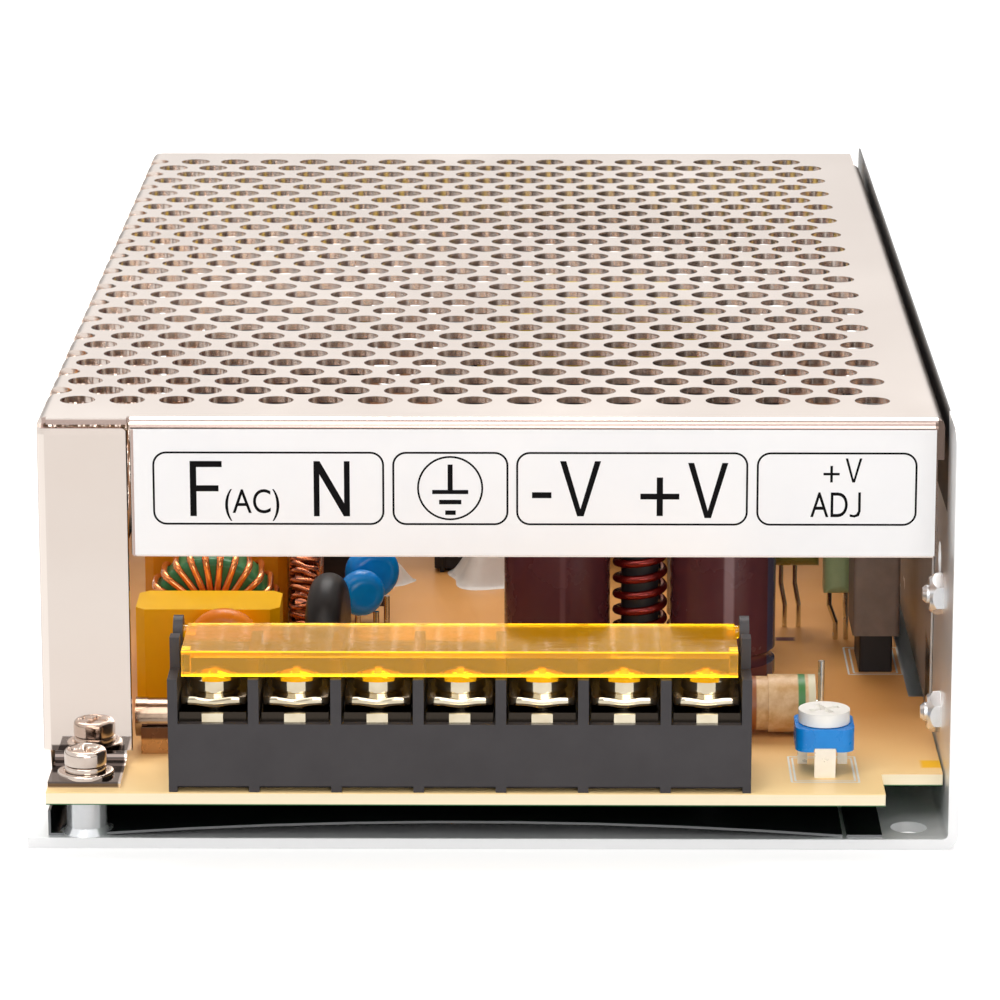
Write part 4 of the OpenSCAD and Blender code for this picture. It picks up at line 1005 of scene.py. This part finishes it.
class SUPPLY_OT_wound(bpy.types.Operator):
    """Winds the choke, the line inductor and the coil on the ferrite rod"""

    bl_idname = "supply.wound"
    bl_label = "Wound parts"

    def execute(self, context):
        colors = context.scene.supply_colors
        make_finish(
            "choke_coat", (24, 108, 60), (56, 140, 84), (300.0, 2.0), (0.32, 0.46), bump=(900.0, 0.18, 0.04),
            on=("green_ferrite", "choke_core"),
        )
        make_finish(
            "rod_ferrite", (30, 30, 33), (48, 47, 50), (400.0, 2.0), (0.45, 0.6), bump=(1600.0, 0.2, 0.03),
            on=("dark_ferrite", "rod_core"),
        )
        copper = make_finish(
            "choke_enamel", colors.copper, (252, 170, 106), (420.0, 2.0), (0.16, 0.28), bump=(1500.0, 0.05, 0.02),
            Metallic=0.85, Coat_Weight=0.5,
        )
        fine = make_finish(
            "fine_copper", (196, 104, 62), (224, 138, 88), (700.0, 2.2), (0.2, 0.34),
            layers=((0.2, 0, 1), 0.55, (112, 52, 30)), Metallic=0.8, Coat_Weight=0.3,
        )
        red = make_finish(
            "rod_enamel", (116, 22, 20), (158, 40, 32), (420.0, 2.0), (0.16, 0.28), Metallic=0.7, Coat_Weight=0.5,
        )
        self.choke(context.scene.supply_sizes.choke_turns, copper)
        self.inductor(fine)
        self.rod(context.scene.supply_sizes.rod_turns, red)
        return {"FINISHED"}

    @staticmethod
    def choke(turns, copper):
        """Two coils of thick wire, each over not quite half of the choke core."""
        low, high = low_high("choke_core")
        outer, width = (high[2] - low[2]) / 2, high[1] - low[1]
        coils = []
        for start in (14, 194):
            path, out = toroid_turns(CHOKE_BORE, outer, width, CHOKE_WIRE, turns, 44, start, 152)
            coils.append(tube(path[:, [1, 0, 2]] + middle("choke_core"), out[:, [1, 0, 2]], CHOKE_WIRE, 10))
        place("choke_wire", coils, copper, replaces=["choke_windings"], sharp=50)

    @staticmethod
    def inductor(copper):
        """A close coil of thinner wire round the narrow line inductor, over a ring that closes its gaps."""
        low, high = low_high("line_inductor")
        outer = (high[2] - low[2]) / 2 - 2 * INDUCTOR_WIRE - 0.12
        width = high[0] - low[0] - 4 * INDUCTOR_WIRE - 0.24
        path, out = toroid_turns(INDUCTOR_BORE, outer, width, INDUCTOR_WIRE, 46, 30, 0, 354, wander=0.25)
        coil = tube(path + middle("line_inductor"), out, INDUCTOR_WIRE, 8)
        core = lathe([(INDUCTOR_BORE, -width / 2), (outer, -width / 2), (outer, width / 2), (INDUCTOR_BORE, width / 2),
                      (INDUCTOR_BORE, -width / 2)], middle("line_inductor"), axis=X, sides=64)
        place("inductor_wire", (coil, core), copper, replaces=["line_inductor"], sharp=50)

    @staticmethod
    def rod(turns, red):
        """An open spring of red wire round the ferrite rod."""
        low, high = low_high("rod_winding")
        radius = (high[0] - low[0]) / 2 - ROD_WIRE
        rise = (high[2] - low[2] - 2 * ROD_WIRE - 0.2) / turns
        turn = np.linspace(0, turns, turns * 56 + 1)
        out = np.stack([np.cos(2 * np.pi * turn), np.sin(2 * np.pi * turn), 0 * turn], -1)
        foot = np.array([*middle("rod_winding")[:2], low[2] + ROD_WIRE + 0.1])
        spring = tube(foot + out * radius + Z * (turn * rise)[:, None], out, ROD_WIRE, 14)
        place("rod_wire", [spring], red, replaces=["rod_winding"], sharp=50)


# --- power parts


class SUPPLY_OT_cans(bpy.types.Operator):
    """Sleeves the electrolytic cans"""

    bl_idname = "supply.cans"
    bl_label = "Electrolytic cans"

    def execute(self, context):
        colors = context.scene.supply_colors
        make_finish(
            "bulk_sleeve", (34, 30, 38), (50, 46, 55), (120.0, 1.8), (0.2, 0.32),
            bump=(500.0, 0.08, 0.03, (1, 1, 0.2)), Coat_Weight=0.3, on=("dark_sleeve", "bulk_capacitors"),
        )
        low, high = low_high("output_capacitors")
        front = low[1] + 6
        make_finish(
            "output_sleeve", colors.sleeve, (98, 54, 62), (120.0, 1.8), (0.2, 0.32),
            bump=(500.0, 0.08, 0.03, (1, 1, 0.2)),
            # Painted light: two lighter vertical stripes are painted highlights on the cans' fronts, and the bluish
            # strip at the right edge is a painted reflection
            patches=[((high[0] - 7.2, low[1] - 1, 8), (high[0] - 5.6, front, 40), 0.3, (148, 120, 128)),
                ((high[0] - 1.3, low[1] - 1, 8), (high[0] + 1, front + 8, 40), 0.2, (72, 74, 104)),
                ((low[0] + 7.2, low[1] - 1, 8), (low[0] + 8.2, front, 40), 0.3, (112, 74, 82))],
            on=("violet_sleeve", "output_capacitors"),
        )
        return {"FINISHED"}


class SUPPLY_OT_power(bpy.types.Operator):
    """Finishes the transformer, the heat sink and the rectifier sleeve"""

    bl_idname = "supply.power"
    bl_label = "Transformer and heat sink"

    def execute(self, context):
        colors = context.scene.supply_colors
        tape = make_finish(
            "transformer_tape", colors.tape, (246, 224, 96), (90.0, 1.8, (1, 1, 3)), (0.26, 0.4),
            bump=(300.0, 0.12, 0.06), layers=((0, 0, 1), 3.1, (214, 176, 44)),
        )
        make_finish(
            "transformer_ferrite", (38, 37, 40), (58, 56, 60), (220.0, 2.0), (0.42, 0.58), bump=(1400.0, 0.2, 0.03),
            on=("dark_ferrite", "transformer_core"),
        )
        make_finish(
            "sink_alloy", (190, 192, 197), (214, 216, 220), (120.0, 2.0, (1, 0.1, 1)), (0.26, 0.4),
            bump=(1200.0, 0.12, 0.02, (1, 0.03, 1)), Metallic=1.0, on=("sink_aluminium", "heat_sink"),
        )
        make_finish(
            "grey_rubber", (114, 101, 93), (136, 122, 113), (260.0, 2.0), (0.5, 0.64), bump=(1500.0, 0.18, 0.03),
            on=("grey_rubber", "rectifier_sleeve"),
        )
        dress(tape, "yellow_tape", "transformer_coil")
        return {"FINISHED"}


# --- add-on


OPERATORS = (
    SUPPLY_OT_stage, SUPPLY_OT_case, SUPPLY_OT_fasteners, SUPPLY_OT_label, SUPPLY_OT_board, SUPPLY_OT_films,
    SUPPLY_OT_terminals, SUPPLY_OT_terminal_cover, SUPPLY_OT_trimmer, SUPPLY_OT_fuse, SUPPLY_OT_boxes,
    SUPPLY_OT_coated, SUPPLY_OT_glue, SUPPLY_OT_wound, SUPPLY_OT_cans, SUPPLY_OT_power,
)


class SUPPLY_PT_panel(bpy.types.Panel):
    """Lists the settings and the steps"""

    bl_idname = "SUPPLY_PT_panel"
    bl_label = "Power supply"
    bl_space_type = "VIEW_3D"
    bl_region_type = "UI"
    bl_category = "Power supply"

    def draw(self, context):
        for settings in (context.scene.supply_colors, context.scene.supply_sizes):
            for key in settings.__annotations__:
                self.layout.prop(settings, key)
        for operator in OPERATORS:
            self.layout.operator(operator.bl_idname)


CLASSES = (SupplyColors, SupplySizes, *OPERATORS, SUPPLY_PT_panel)


def register():
    for cls in CLASSES:
        bpy.utils.register_class(cls)
    bpy.types.Scene.supply_colors = PointerProperty(type=SupplyColors)
    bpy.types.Scene.supply_sizes = PointerProperty(type=SupplySizes)


def unregister():
    del bpy.types.Scene.supply_sizes
    del bpy.types.Scene.supply_colors
    for cls in reversed(CLASSES):
        bpy.utils.unregister_class(cls)


def main():
    register()
    for operator in OPERATORS:
        group, name = operator.bl_idname.split(".")
        getattr(getattr(bpy.ops, group), name)()


if __name__ == "__main__":
    main()
